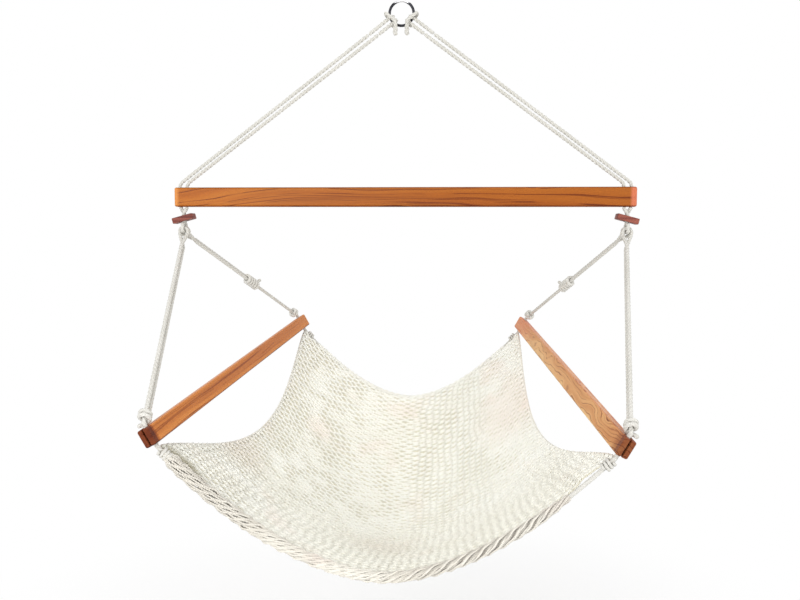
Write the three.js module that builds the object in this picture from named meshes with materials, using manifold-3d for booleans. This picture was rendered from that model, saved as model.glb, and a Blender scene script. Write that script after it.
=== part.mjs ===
import * as THREE from 'three';
import { mergeVertices } from 'three/addons/utils/BufferGeometryUtils.js';
import Module from 'manifold-3d';

// Hammock chair: a ring carries two doubled ropes, which pass through a wooden spreader bar and
// end in loops below it. Two doubled legs a side hang in each loop and hold a wooden arm, and a
// woven rope seat hangs between the arms. Millimetres, +X to the right as seen from the front,
// +Y to the rear, +Z up. The origin is where a hook bears inside the ring.

const wasm = await Module();
wasm.setup();

// Rope
const ROPE_DIAMETER = 8.5;
const ROPE_GAP = 0.45;
const ROPE_SIDES = 6;
const TURN_STEPS = 12;
const ROPE_RADIUS = ROPE_DIAMETER / 2;
const ROPE_PITCH = ROPE_DIAMETER + ROPE_GAP;
const TURN_CHORD_SHARE = 1 / Math.cos(Math.PI / TURN_STEPS);
const TURN_RADIUS = ROPE_PITCH * TURN_CHORD_SHARE;
const BEND_RADIUS = 8;
const BEND_STEPS = 3;
const SHARP_TURN_DEGREES = 33;
const STRETCH_LENGTH = 60;

// Ring and the hitches on it
const RING_WIRE = 6;
const RING_BORE = 48;
const RING_RADIUS = RING_BORE / 2 + RING_WIRE / 2;
const RING_HEIGHT = -RING_BORE / 2;
const RING_SEGMENTS = 36;
const RING_SECTION_SIDES = 8;
const LOWER_HITCH_DEGREES = 38;
const UPPER_HITCH_DEGREES = 67;
const HITCH_TURN_RADIUS = (RING_WIRE / 2 + ROPE_GAP + ROPE_RADIUS) * TURN_CHORD_SHARE;
const CROSSING_LEG_DEGREES = 84;
const CROSSING_DEPTH = HITCH_TURN_RADIUS + ROPE_DIAMETER + ROPE_GAP;
const HITCH_TAIL_SIDE = 13;
const HITCH_TAIL_TOP = -44;
const HITCH_TAIL_LENGTH = 32;
const SHORT_TAIL_LENGTH = 9;
const SWING_AXIS_DROP = 72;

// Spreader bar
const BAR_LENGTH = 1052;
const BAR_HEIGHT = 44.5;
const BAR_DEPTH = 22;
const BAR_CENTRE_HEIGHT = -432;
const BAR_CORNER_RADIUS = 5;
const BAR_END_ROUNDING = 4;
const BAR_HOLE_DIAMETER = 10.6;
const BAR_HOLE_SPACING = 17;
const BAR_HOLE_END_DISTANCE = 19;
const BAR_HOLE_EASING = 2.5;
const BAR_TOP = BAR_CENTRE_HEIGHT + BAR_HEIGHT / 2;
const BAR_BOTTOM = BAR_CENTRE_HEIGHT - BAR_HEIGHT / 2;
const SIDE_X = BAR_LENGTH / 2 - BAR_HOLE_END_DISTANCE;

// Toggles and the loops that carry the legs
const TOGGLE_LENGTH = 50;
const TOGGLE_DEPTH = 30;
const TOGGLE_THICKNESS = 13;
const TOGGLE_CORNER_RADIUS = 4;
const TOGGLE_EDGE_ROUNDING = 1.5;
const TOGGLE_TILT_DEGREES = 15;
const TOGGLE_DROP = 27;
const TOGGLE_SLOT_WIDTH = 13.2;
const TOGGLE_SLOT_END_GAP = 0.8;
const TOGGLE_HEIGHT = BAR_BOTTOM - TOGGLE_DROP;
const LOOP_STRAIGHT_BELOW_TOGGLE = 9.2;
const LOOP_FLARE_HEIGHT = ROPE_PITCH * 0.7;
const LOOP_DEPTH = ROPE_PITCH * 2.3;
const LOOP_TOP = TOGGLE_HEIGHT - LOOP_STRAIGHT_BELOW_TOGGLE;
const LOOP_BOTTOM = LOOP_TOP - LOOP_DEPTH;
const LOOP_CORNER_RADIUS = 6;
const LOOP_TWIST_SIDE = 4.3;
const LOOP_TWIST_SHARE = 0.6;

// Arms
const ARM_HEIGHT = 34;
const ARM_THICKNESS = 23;
const ARM_CORNER_RADIUS = 3.5;
const ARM_END_ROUNDING = 1.5;
const ARM_LEAN_DEGREES = 27.8;
const ARM_FRONT = new THREE.Vector3(412, -471, -876);
const ARM_REAR = new THREE.Vector3(311, 421, -764);
const ARM_HOLE_DIAMETER = 9.4;
const ARM_FRONT_HOLE_DISTANCE = 15;
const ARM_REAR_HOLE_DISTANCE = 25;
const ARM_KERF_WIDTH = 4.2;

// Legs: how far from the arm each hitch starts, how many turns it has, and its tail
const ARM_ROPE_STAND = 8;
const FRONT_HITCH_DISTANCE = 8;
const FRONT_HITCH_TURNS = 2;
const REAR_HITCH_DISTANCE = 200;
const REAR_HITCH_TURNS = 5;
const LEG_TAIL_LENGTH = 18;
const LEG_GATHER_LENGTH = 42;
const STOPPER_TURNS = 1.5;
const STOPPER_DISTANCE = 11;

// Net and its border ropes
const NET_THICKNESS = 9;
const NET_EDGE_GAP = 0.7;
const NET_FRONT_SAG = 224;
const NET_REAR_SAG = 190;
const NET_SIDE_SAG = 121;
const NET_SIDE_DRAW_IN = 33;
const NET_SIDE_SKEW = 32;
const NET_SIDE_FULLNESS = 1.35;
const NET_FRONT_FULLNESS = 1.78;
const NET_REAR_FULLNESS = 1.78;
const NET_COLUMNS = 34;
const NET_ROWS = 16;
const NET_CORNER_CUT_SHARE = 0.085;
const NET_CORNER_REACH_SHARE = 0.14;
const BORDER_STEPS = 40;
const CORNER_ROPE_LENGTH = 18;
const FRONT_ROLL_DIAMETER = 22;
const REAR_ROLL_DIAMETER = 15;
const ROLL_TAPER_LENGTH = 90;
const ROLL_SIDES = 10;
const LASHING_CORD = 6;
const LASHING_TURNS = 3;
const LASHING_PITCH = LASHING_CORD + 1.3 * ROPE_GAP;
const LASHING_RADIUS = (ROPE_RADIUS + ROPE_GAP + LASHING_CORD / 2) * TURN_CHORD_SHARE;

const CUT_OVERRUN = 5;
const SIDES = [['left', -1], ['right', 1]];
const radians = THREE.MathUtils.degToRad;
const point = (x, y, z) => new THREE.Vector3(x, y, z);
const along = (start, direction, length) => start.clone().addScaledVector(direction, length);
const between = (start, end) => end.clone().sub(start).normalize();

const materials = {
  steel: new THREE.MeshStandardMaterial({ color: 0x8d9196, roughness: 0.22, metalness: 1 }),
  barWood: new THREE.MeshStandardMaterial({ color: 0xc07a3a, roughness: 0.45, metalness: 0 }),
  armWood: new THREE.MeshStandardMaterial({ color: 0xc9834a, roughness: 0.45, metalness: 0 }),
  toggleWood: new THREE.MeshStandardMaterial({ color: 0x7a4234, roughness: 0.55, metalness: 0 }),
  rope: new THREE.MeshStandardMaterial({ color: 0xefece0, roughness: 0.9, metalness: 0 }),
};

const group = new THREE.Group();

// Adds one named mesh to the chair
function addMesh(name, geometry, material) {
  const mesh = new THREE.Mesh(geometry, material);
  mesh.name = name;
  group.add(mesh);
  return mesh;
}

// Merges shared corners, so that the geometry is one closed body
function closedBody(geometry) {
  geometry.deleteAttribute('normal');
  geometry.deleteAttribute('uv');
  return mergeVertices(geometry);
}

function solidOf(geometry) {
  const body = closedBody(geometry);
  const numbers = Float32Array.from(body.attributes.position.array);
  const corners = Uint32Array.from(body.index.array);
  return new wasm.Manifold(new wasm.Mesh({ numProp: 3, vertProperties: numbers, triVerts: corners }));
}

function geometryOf(solid) {
  const mesh = solid.getMesh();
  const geometry = new THREE.BufferGeometry();
  geometry.setAttribute('position', new THREE.BufferAttribute(mesh.vertProperties, 3));
  geometry.setIndex(new THREE.BufferAttribute(mesh.triVerts, 1));
  return geometry;
}

// A rectangle with round corners, centred on its shape's origin
function roundedRectangle(width, height, radius) {
  const x = width / 2;
  const y = height / 2;
  const shape = new THREE.Shape();
  shape.moveTo(radius - x, -y);
  shape.lineTo(x - radius, -y);
  shape.absarc(x - radius, radius - y, radius, -Math.PI / 2, 0);
  shape.lineTo(x, y - radius);
  shape.absarc(x - radius, y - radius, radius, 0, Math.PI / 2);
  shape.lineTo(radius - x, y);
  shape.absarc(radius - x, y - radius, radius, Math.PI / 2, Math.PI);
  shape.lineTo(-x, radius - y);
  shape.absarc(radius - x, radius - y, radius, Math.PI, Math.PI * 1.5);
  return shape;
}

// A board of the given section, rounded at its ends, that runs along +Z from zero
function board(width, height, length, radius, rounding) {
  const shape = roundedRectangle(width - 2 * rounding, height - 2 * rounding, radius - rounding);
  const geometry = new THREE.ExtrudeGeometry(shape, {
    depth: length - 2 * rounding,
    curveSegments: 4,
    bevelEnabled: true,
    bevelThickness: rounding,
    bevelSize: rounding,
    bevelSegments: 2,
  });
  return geometry.translate(0, 0, rounding);
}

// A bore along the board's height, at one place along its length
function heightBore(diameter, height, place) {
  const bore = new THREE.CylinderGeometry(diameter / 2, diameter / 2, height + 2 * CUT_OVERRUN, 20);
  return solidOf(bore.translate(0, 0, place));
}

// The cone that eases a bore's mouth, with its wide end at the given place along the board's height
function boreEasing(diameter, easing, face) {
  const wide = diameter / 2 + easing + CUT_OVERRUN;
  const depth = easing + CUT_OVERRUN;
  const cone = new THREE.CylinderGeometry(wide, diameter / 2, depth, 20);
  cone.translate(0, face - easing + depth / 2, 0);
  return cone;
}

// Rounds the sharp corners of a route and leaves its gentle ones
function roundedRoute(corners, radius) {
  const route = [corners[0]];
  for (let i = 1; i < corners.length - 1; i += 1) {
    const back = between(corners[i], corners[i - 1]);
    const forward = between(corners[i], corners[i + 1]);
    const turn = Math.PI - back.angleTo(forward);
    if (turn < radians(SHARP_TURN_DEGREES)) {
      route.push(corners[i]);
      continue;
    }
    const shorter = Math.min(corners[i].distanceTo(corners[i - 1]), corners[i].distanceTo(corners[i + 1]));
    const cut = Math.min(radius * Math.tan(turn / 2), shorter * 0.48);
    const start = along(corners[i], back, cut);
    const end = along(corners[i], forward, cut);
    const bend = new THREE.QuadraticBezierCurve3(start, corners[i], end);
    route.push(...bend.getPoints(BEND_STEPS));
  }
  route.push(corners[corners.length - 1]);
  return route;
}

// A closed tube along a route, with a flat or a ball end at each end
function ropeTube(route, diameter, ballStart = false, ballEnd = false) {
  const radius = diameter / 2;
  const stations = route.map((place) => ({ place, scale: 1 }));
  if (ballStart) stations.unshift(...ballStations(route[0], between(route[1], route[0]), radius).reverse());
  const last = route.length - 1;
  if (ballEnd) stations.push(...ballStations(route[last], between(route[last - 1], route[last]), radius));
  return tubeOf(stations, radius, ROPE_SIDES);
}

// The closed tube through its stations, each with a place and a scale of the radius
function tubeOf(stations, radius, sides) {
  const positions = [];
  const triangles = [];
  let normal = null;
  for (let i = 0; i < stations.length; i += 1) {
    const before = stations[Math.max(i - 1, 0)].place;
    const after = stations[Math.min(i + 1, stations.length - 1)].place;
    const tangent = between(before, after);
    if (normal === null) {
      const helper = Math.abs(tangent.z) < 0.9 ? point(0, 0, 1) : point(1, 0, 0);
      normal = helper.clone().cross(tangent).normalize();
    }
    normal = along(normal, tangent, -normal.dot(tangent)).normalize();
    const side = tangent.clone().cross(normal);
    for (let k = 0; k < sides; k += 1) {
      const angle = (2 * Math.PI * k) / sides;
      const reach = radius * stations[i].scale;
      const corner = along(stations[i].place, normal, reach * Math.cos(angle));
      corner.addScaledVector(side, reach * Math.sin(angle));
      positions.push(...corner.toArray());
    }
  }
  for (let i = 0; i < stations.length - 1; i += 1) {
    for (let k = 0; k < sides; k += 1) {
      const a = i * sides + k;
      const b = i * sides + ((k + 1) % sides);
      triangles.push(a, b, b + sides, a, b + sides, a + sides);
    }
  }
  const endRing = (stations.length - 1) * sides;
  for (let k = 1; k < sides - 1; k += 1) {
    triangles.push(0, k + 1, k);
    triangles.push(endRing, endRing + k, endRing + k + 1);
  }
  const geometry = new THREE.BufferGeometry();
  geometry.setAttribute('position', new THREE.Float32BufferAttribute(positions, 3));
  geometry.setIndex(triangles);
  return geometry;
}

// The rings of a half ball beyond a rope's end
function ballStations(centre, direction, radius) {
  const angles = [22.5, 45, 67.5].map(radians);
  return angles.map((angle) => ({
    place: along(centre, direction, radius * Math.sin(angle)),
    scale: Math.cos(angle),
  }));
}

// Turns about a straight line: from centre, along axis, starting on the side that outward shows
function coilRoute(centre, axis, outward, radius, pitch, turns, handed = 1) {
  const across = axis.clone().cross(outward).normalize();
  const steps = Math.round(turns * TURN_STEPS);
  const route = [];
  for (let i = 0; i <= steps; i += 1) {
    const angle = (2 * Math.PI * i) / TURN_STEPS;
    const place = along(centre, axis, (pitch * i) / TURN_STEPS);
    place.addScaledVector(outward, radius * Math.cos(angle));
    place.addScaledVector(across, handed * radius * Math.sin(angle));
    route.push(place);
  }
  return route;
}

// A direction square to the axis, as near as possible to the wish
function squareTo(axis, wish) {
  return along(wish, axis, -wish.dot(axis)).normalize();
}

// The least gap between turns that lie more than half a turn apart
function leastSelfGap(route, diameter) {
  let least = Infinity;
  for (let i = 0; i < route.length; i += 1) {
    let travelled = 0;
    for (let j = i + 1; j < route.length; j += 1) {
      travelled += route[j].distanceTo(route[j - 1]);
      if (travelled > 2.2 * diameter) least = Math.min(least, route[i].distanceTo(route[j]) - diameter);
    }
  }
  return least;
}

function addWoundRope(name, corners, diameter, ballStart, ballEnd) {
  const route = roundedRoute(corners, BEND_RADIUS);
  console.log(name, 'least gap to itself', leastSelfGap(route, diameter).toFixed(2), 'mm');
  addMesh(name, ropeTube(route, diameter, ballStart, ballEnd), materials.rope);
}

// Splits long straight runs, so that a tube bends evenly when it has to
function stretched(start, end) {
  const count = Math.max(1, Math.round(start.distanceTo(end) / STRETCH_LENGTH));
  return Array.from({ length: count + 1 }, (unused, i) => start.clone().lerp(end, i / count));
}

// Ring
function addRing() {
  const torus = new THREE.TorusGeometry(RING_RADIUS, RING_WIRE / 2, RING_SECTION_SIDES, RING_SEGMENTS);
  torus.rotateX(Math.PI / 2);
  torus.translate(0, 0, RING_HEIGHT);
  addMesh('hanging_ring', closedBody(torus), materials.steel);
}

// Where one strand of the pair leaves the ring, and where it enters the bar
function ringWireCentre(side, degrees) {
  const angle = radians(degrees);
  return point(side * RING_RADIUS * Math.sin(angle), 0, RING_HEIGHT - RING_RADIUS * Math.cos(angle));
}

function outFromRing(side, degrees) {
  return point(side * Math.sin(radians(degrees)), 0, -Math.cos(radians(degrees)));
}

function barHoleX(side, outer) {
  return side * (SIDE_X + (outer ? 0.5 : -0.5) * BAR_HOLE_SPACING);
}

// A part turn over the ring's wire: zero is the front, a quarter is in the bore, a half the rear
function wireTurn(side, degrees, endDegrees, quarters) {
  const route = [];
  const steps = (quarters * TURN_STEPS) / 4;
  for (let i = 0; i <= steps; i += 1) {
    const angle = (2 * Math.PI * i) / TURN_STEPS;
    const shift = Math.max(0, i - TURN_STEPS / 4) / Math.max(1, steps - TURN_STEPS / 4);
    const place = degrees + (endDegrees - degrees) * shift;
    const middle = ringWireCentre(side, place);
    middle.addScaledVector(outFromRing(side, place), -HITCH_TURN_RADIUS * Math.sin(angle));
    middle.y -= HITCH_TURN_RADIUS * Math.cos(angle);
    route.push(middle);
  }
  return route;
}

// The point where a strand crosses the axis on which the ropes swing below the hitches
function swingPoint(side, outer) {
  const start = ringWireCentre(side, outer ? UPPER_HITCH_DEGREES : LOWER_HITCH_DEGREES);
  const end = point(barHoleX(side, outer), 0, BAR_TOP);
  const share = (-SWING_AXIS_DROP - start.z) / (end.z - start.z);
  return point(start.x + (end.x - start.x) * share, SWING_AXIS_Y, -SWING_AXIS_DROP);
}

const SWING_AXIS_Y = -HITCH_TURN_RADIUS * (1 - SWING_AXIS_DROP / -BAR_TOP);

// Where a hitch's strand ends, just short of the swing axis
function hitchEnd(side, outer, turn) {
  const centre = swingPoint(side, outer);
  return along(centre, between(centre, turn[0]), ROPE_RADIUS + ROPE_GAP);
}

// Hitches: both rope ends turn over the ring, and the upper one crosses both strands in front
function addRingHitches(label, side) {
  const lowerTurn = wireTurn(side, LOWER_HITCH_DEGREES, LOWER_HITCH_DEGREES, 2);
  const outward = outFromRing(side, LOWER_HITCH_DEGREES);
  const shortEnd = along(lowerTurn[lowerTurn.length - 1], outward, SHORT_TAIL_LENGTH);
  addWoundRope(`ring_turn_${label}`, [hitchEnd(side, false, lowerTurn), ...lowerTurn, shortEnd], ROPE_DIAMETER);
  const upperTurn = wireTurn(side, UPPER_HITCH_DEGREES, CROSSING_LEG_DEGREES, 3);
  const legEnd = upperTurn[upperTurn.length - 1];
  const crossingEnd = point(side * HITCH_TAIL_SIDE, -CROSSING_DEPTH, HITCH_TAIL_TOP);
  const corners = [
    hitchEnd(side, true, upperTurn),
    ...upperTurn,
    point(legEnd.x, -CROSSING_DEPTH, legEnd.z),
    crossingEnd,
    along(crossingEnd, point(0, 0, -1), HITCH_TAIL_LENGTH),
  ];
  addWoundRope(`ring_hitch_${label}`, corners, ROPE_DIAMETER);
}

// Upper strands, from the swing axis down into the bar
function addUpperStrand(label, side, outer) {
  const start = swingPoint(side, outer);
  const hole = point(barHoleX(side, outer), 0, BAR_TOP);
  const mouth = along(hole, point(0, 0, 1), ARM_ROPE_STAND);
  const end = point(hole.x, 0, BAR_BOTTOM + ROPE_RADIUS + ROPE_GAP);
  const route = roundedRoute([...stretched(start, mouth), end], 2 * BEND_RADIUS);
  const name = `upper_rope_${label}_${outer ? 'outer' : 'inner'}`;
  addMesh(name, ropeTube(route, ROPE_DIAMETER, true), materials.rope);
}

// Spreader bar
function addSpreaderBar() {
  const length = BAR_LENGTH;
  const timber = board(BAR_DEPTH, BAR_HEIGHT, length, BAR_CORNER_RADIUS, BAR_END_ROUNDING);
  let solid = solidOf(timber.translate(0, 0, -length / 2));
  for (const [, side] of SIDES) {
    for (const outer of [false, true]) {
      const place = barHoleX(side, outer);
      const upper = boreEasing(BAR_HOLE_DIAMETER, BAR_HOLE_EASING, BAR_HEIGHT / 2).translate(0, 0, place);
      const lower = boreEasing(BAR_HOLE_DIAMETER, BAR_HOLE_EASING, BAR_HEIGHT / 2).rotateX(Math.PI);
      solid = solid.subtract(heightBore(BAR_HOLE_DIAMETER, BAR_HEIGHT, place));
      solid = solid.subtract(solidOf(upper)).subtract(solidOf(lower.translate(0, 0, place)));
    }
  }
  const geometry = geometryOf(solid);
  geometry.applyMatrix4(new THREE.Matrix4().makeBasis(point(0, -1, 0), point(0, 0, 1), point(-1, 0, 0)));
  geometry.translate(0, 0, BAR_CENTRE_HEIGHT);
  addMesh('spreader_bar', geometry, materials.barWood);
}

// Toggle: a wooden slide with one long slot, through which both strands pass
function addToggle(label, side) {
  const timber = board(TOGGLE_LENGTH, TOGGLE_DEPTH, TOGGLE_THICKNESS, TOGGLE_CORNER_RADIUS, TOGGLE_EDGE_ROUNDING);
  const slotLength = ROPE_PITCH + ROPE_DIAMETER + 2 * TOGGLE_SLOT_END_GAP;
  const slotShape = roundedRectangle(TOGGLE_SLOT_WIDTH, slotLength, ROPE_RADIUS);
  const slotDepth = TOGGLE_THICKNESS + 2 * CUT_OVERRUN;
  const slot = new THREE.ExtrudeGeometry(slotShape, { depth: slotDepth, curveSegments: 5, bevelEnabled: false });
  const timberSolid = solidOf(timber.translate(0, 0, -TOGGLE_THICKNESS / 2));
  const solid = timberSolid.subtract(solidOf(slot.translate(0, 0, -slotDepth / 2)));
  const mesh = addMesh(`toggle_${label}`, geometryOf(solid), materials.toggleWood);
  mesh.rotation.y = side * radians(TOGGLE_TILT_DEGREES);
  mesh.position.set(side * SIDE_X, 0, TOGGLE_HEIGHT);
}

// Loop: the two strands below the bar, through the toggle and round under the legs
function addToggleLoop(label, side) {
  const half = ROPE_PITCH / 2;
  const wide = ROPE_PITCH * 1.5;
  const x = side * SIDE_X;
  const slotTop = TOGGLE_HEIGHT + TOGGLE_THICKNESS / 2 + ROPE_RADIUS / 2;
  const twistHeight = BAR_BOTTOM + (slotTop - BAR_BOTTOM) * LOOP_TWIST_SHARE;
  const corners = [
    point(barHoleX(side, false), 0, BAR_BOTTOM),
    point(x - side * LOOP_TWIST_SIDE, -LOOP_TWIST_SIDE, twistHeight),
    point(x, -half, slotTop),
    point(x, -half, LOOP_TOP),
    point(x, -wide, LOOP_TOP - LOOP_FLARE_HEIGHT),
    point(x, -wide, LOOP_BOTTOM),
    point(x, wide, LOOP_BOTTOM),
    point(x, wide, LOOP_TOP - LOOP_FLARE_HEIGHT),
    point(x, half, LOOP_TOP),
    point(x, half, slotTop),
    point(x + side * LOOP_TWIST_SIDE, LOOP_TWIST_SIDE, twistHeight),
    point(barHoleX(side, true), 0, BAR_BOTTOM),
  ];
  const route = roundedRoute(corners, LOOP_CORNER_RADIUS);
  console.log(`toggle_loop_${label}`, 'least gap to itself', leastSelfGap(route, ROPE_DIAMETER).toFixed(2), 'mm');
  addMesh(`toggle_loop_${label}`, ropeTube(route, ROPE_DIAMETER, true, true), materials.rope);
}

// The frame of one arm: its end points, its length direction, and its leaning height direction
function armFrame(side) {
  const front = point(side * ARM_FRONT.x, ARM_FRONT.y, ARM_FRONT.z);
  const rear = point(side * ARM_REAR.x, ARM_REAR.y, ARM_REAR.z);
  const length = between(front, rear);
  const upright = squareTo(length, point(0, 0, 1));
  const height = upright.applyAxisAngle(length, side * radians(ARM_LEAN_DEGREES));
  const inward = height.clone().cross(length);
  const frontHole = along(front, length, ARM_FRONT_HOLE_DISTANCE);
  const rearHole = along(rear, length, -ARM_REAR_HOLE_DISTANCE);
  return { front, rear, length, height, inward, frontHole, rearHole };
}

// Arm: a board on edge, bored at both ends and sawn open to its front bore
function addArm(label, side) {
  const frame = armFrame(side);
  const length = frame.front.distanceTo(frame.rear);
  const timber = board(ARM_THICKNESS, ARM_HEIGHT, length, ARM_CORNER_RADIUS, ARM_END_ROUNDING);
  const kerfLength = ARM_FRONT_HOLE_DISTANCE + CUT_OVERRUN;
  const kerf = new THREE.BoxGeometry(ARM_KERF_WIDTH, ARM_HEIGHT + 2 * CUT_OVERRUN, kerfLength);
  kerf.translate(0, 0, ARM_FRONT_HOLE_DISTANCE - kerfLength / 2);
  let solid = solidOf(timber);
  solid = solid.subtract(heightBore(ARM_HOLE_DIAMETER, ARM_HEIGHT, ARM_FRONT_HOLE_DISTANCE));
  solid = solid.subtract(heightBore(ARM_HOLE_DIAMETER, ARM_HEIGHT, length - ARM_REAR_HOLE_DISTANCE));
  solid = solid.subtract(solidOf(kerf));
  const geometry = geometryOf(solid);
  const basis = new THREE.Matrix4().makeBasis(frame.inward, frame.height, frame.length);
  geometry.applyMatrix4(basis.setPosition(frame.front));
  addMesh(`arm_${label}`, geometry, materials.armWood);
}

// Border curves: from under one arm to under the other, sagging between them
function borderEnd(side, front) {
  const frame = armFrame(side);
  const hole = front ? frame.frontHole : frame.rearHole;
  return along(hole, frame.height, -(ARM_HEIGHT / 2 + ARM_ROPE_STAND));
}

function borderPoint(front, across) {
  const end = borderEnd(1, front);
  const sag = front ? NET_FRONT_SAG : NET_REAR_SAG;
  const fullness = front ? NET_FRONT_FULLNESS : NET_REAR_FULLNESS;
  return point(end.x * across, end.y, end.z - sag * (1 - Math.abs(across) ** fullness));
}

// The border curve as evenly spaced points, from the left arm to the right one
function borderCurve(front) {
  const places = [];
  for (let i = 0; i <= 4 * BORDER_STEPS; i += 1) places.push(borderPoint(front, i / (2 * BORDER_STEPS) - 1));
  return new THREE.CatmullRomCurve3(places);
}

function curvePart(curve, startLength, endLength, steps) {
  const total = curve.getLength();
  const route = [];
  for (let i = 0; i <= steps; i += 1) {
    const length = startLength + ((endLength - startLength) * i) / steps;
    route.push(curve.getPointAt(length / total));
  }
  return route;
}

// The border's radius at a distance from the arm: a bare rope there, then a roll laced to the net
function borderRadius(front, distance) {
  const rollRadius = (front ? FRONT_ROLL_DIAMETER : REAR_ROLL_DIAMETER) / 2;
  const share = THREE.MathUtils.smoothstep(distance, 2 * CORNER_ROPE_LENGTH, ROLL_TAPER_LENGTH);
  return ROPE_RADIUS + (rollRadius - ROPE_RADIUS) * share;
}

function addBorderRope(name, front) {
  const curve = borderCurve(front);
  const start = CORNER_ROPE_LENGTH + ROPE_GAP;
  const total = curve.getLength();
  const route = curvePart(curve, start, total - start, BORDER_STEPS);
  const stations = route.map((place, i) => {
    const distance = start + ((total - 2 * start) * i) / BORDER_STEPS;
    return { place, scale: borderRadius(front, Math.min(distance, total - distance)) / ROPE_RADIUS };
  });
  addMesh(name, tubeOf(stations, ROPE_RADIUS, ROLL_SIDES), materials.rope);
}

// The rope's last stretch below an arm, out to where the border rope takes over
function cornerRoute(side, front) {
  const route = curvePart(borderCurve(front), 0, CORNER_ROPE_LENGTH, 3);
  return side < 0 ? route : route.map((place) => point(-place.x, place.y, place.z));
}

// Lashing: a cord wound over the joint of the leg rope and the border rope
function addLashing(name, side, front) {
  const curve = borderCurve(front);
  const span = LASHING_TURNS * LASHING_PITCH;
  const steps = LASHING_TURNS * TURN_STEPS;
  const total = curve.getLength();
  const route = [];
  for (let i = 0; i <= steps; i += 1) {
    const length = CORNER_ROPE_LENGTH - span / 2 + (span * i) / steps;
    const place = curve.getPointAt(length / total);
    const axis = curve.getTangentAt(length / total);
    const outward = squareTo(axis, point(0, -1, 0));
    const across = axis.clone().cross(outward);
    const angle = (2 * Math.PI * i) / TURN_STEPS;
    place.addScaledVector(outward, LASHING_RADIUS * Math.cos(angle));
    place.addScaledVector(across, LASHING_RADIUS * Math.sin(angle));
    route.push(side < 0 ? place : point(-place.x, place.y, place.z));
  }
  console.log(name, 'least gap to itself', leastSelfGap(route, LASHING_CORD).toFixed(2), 'mm');
  addMesh(name, ropeTube(route, LASHING_CORD), materials.rope);
}

// Leg: one rope from under the arm, up over the loop, back down behind itself and hitched round
// itself, so that its two strands lie together below the loop
function addLeg(name, side, front, hitchDistance, hitchTurns) {
  const frame = armFrame(side);
  const hole = front ? frame.frontHole : frame.rearHole;
  const armTop = along(hole, frame.height, ARM_HEIGHT / 2 + ARM_ROPE_STAND);
  const corner = cornerRoute(side, front).reverse();
  const loopY = (front ? -0.5 : 0.5) * ROPE_PITCH;
  const bight = bightRoute(side, loopY);
  const loopFoot = point(side * SIDE_X, loopY, bight[0].z);
  const standDirection = between(armTop, loopFoot);
  const outward = squareTo(standDirection, point(0, 1, 0));
  const turnsLength = hitchTurns * ROPE_PITCH;
  const hitchTop = along(armTop, standDirection, hitchDistance + turnsLength);
  const down = standDirection.clone().negate();
  const handed = front ? side : -side;
  const coil = coilRoute(hitchTop, down, outward, TURN_RADIUS, ROPE_PITCH * 1.03, hitchTurns, handed);
  const coilEnd = coil[coil.length - 1];
  const lastStep = between(coil[coil.length - 2], coilEnd);
  const tail = along(coilEnd, lastStep, LEG_TAIL_LENGTH);
  const gather = along(loopFoot, down, LEG_GATHER_LENGTH);
  const returnGather = along(gather, outward, TURN_RADIUS);
  const parallel = along(along(hitchTop, standDirection, 2 * ROPE_PITCH), outward, TURN_RADIUS);
  const corners = [
    ...corner,
    armTop,
    ...stretched(armTop, gather).slice(1),
    ...bight,
    ...stretched(returnGather, parallel).slice(0, -1),
    parallel,
    along(coil[0], standDirection, ROPE_PITCH * 0.6),
    ...coil.slice(1),
    tail,
  ];
  addWoundRope(name, corners, ROPE_DIAMETER);
  return { armTop, standDirection, outward };
}

// The half turn of a leg over the loop's lowest rope
function bightRoute(side, y) {
  const route = [];
  const fall = ROPE_PITCH * 0.6;
  const x = side * SIDE_X;
  route.push(point(x - side * TURN_RADIUS, y, LOOP_BOTTOM - fall));
  for (let i = 0; i <= TURN_STEPS / 2; i += 1) {
    const angle = (2 * Math.PI * i) / TURN_STEPS;
    const place = point(x - side * TURN_RADIUS * Math.cos(angle), y, LOOP_BOTTOM + TURN_RADIUS * Math.sin(angle));
    route.push(place);
  }
  route.push(point(x + side * TURN_RADIUS, y, LOOP_BOTTOM - fall));
  return route;
}

// Stopper: a short knot of turns on the rear leg just above the arm
function addStopper(label, side, leg) {
  const centre = along(leg.armTop, leg.standDirection, STOPPER_DISTANCE);
  const route = coilRoute(centre, leg.standDirection, leg.outward, TURN_RADIUS, ROPE_PITCH * 1.03, STOPPER_TURNS, side);
  addMesh(`rear_stopper_${label}`, ropeTube(route, ROPE_DIAMETER), materials.rope);
}

// Net: a sheet hung from its two border ropes, with free sides that sag and draw in
function sidePoint(side, rearward) {
  const front = borderPoint(true, side);
  const rear = borderPoint(false, side);
  const sag = (4 * rearward * (1 - rearward)) ** NET_SIDE_FULLNESS;
  const place = front.lerp(rear, rearward);
  place.x -= side * NET_SIDE_DRAW_IN * sag;
  place.y += NET_SIDE_SKEW * sag * (1 - rearward);
  place.z -= NET_SIDE_SAG * sag;
  return place;
}

function netPoint(across, rearward) {
  const share = (across + 1) / 2;
  const fromBorders = borderPoint(true, across).lerp(borderPoint(false, across), rearward);
  const fromSides = sidePoint(-1, rearward).lerp(sidePoint(1, rearward), share);
  const leftCorners = borderPoint(true, -1).lerp(borderPoint(false, -1), rearward);
  const rightCorners = borderPoint(true, 1).lerp(borderPoint(false, 1), rearward);
  const fromCorners = leftCorners.lerp(rightCorners, share);
  return fromBorders.add(fromSides).sub(fromCorners);
}

// How far out the net reaches at one place between its borders, drawn in at the corners
function netReach(rearward) {
  const fromBorder = Math.min(rearward, 1 - rearward) / NET_CORNER_REACH_SHARE;
  return 1 - NET_CORNER_CUT_SHARE * (1 - Math.min(fromBorder, 1)) ** 2;
}

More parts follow.
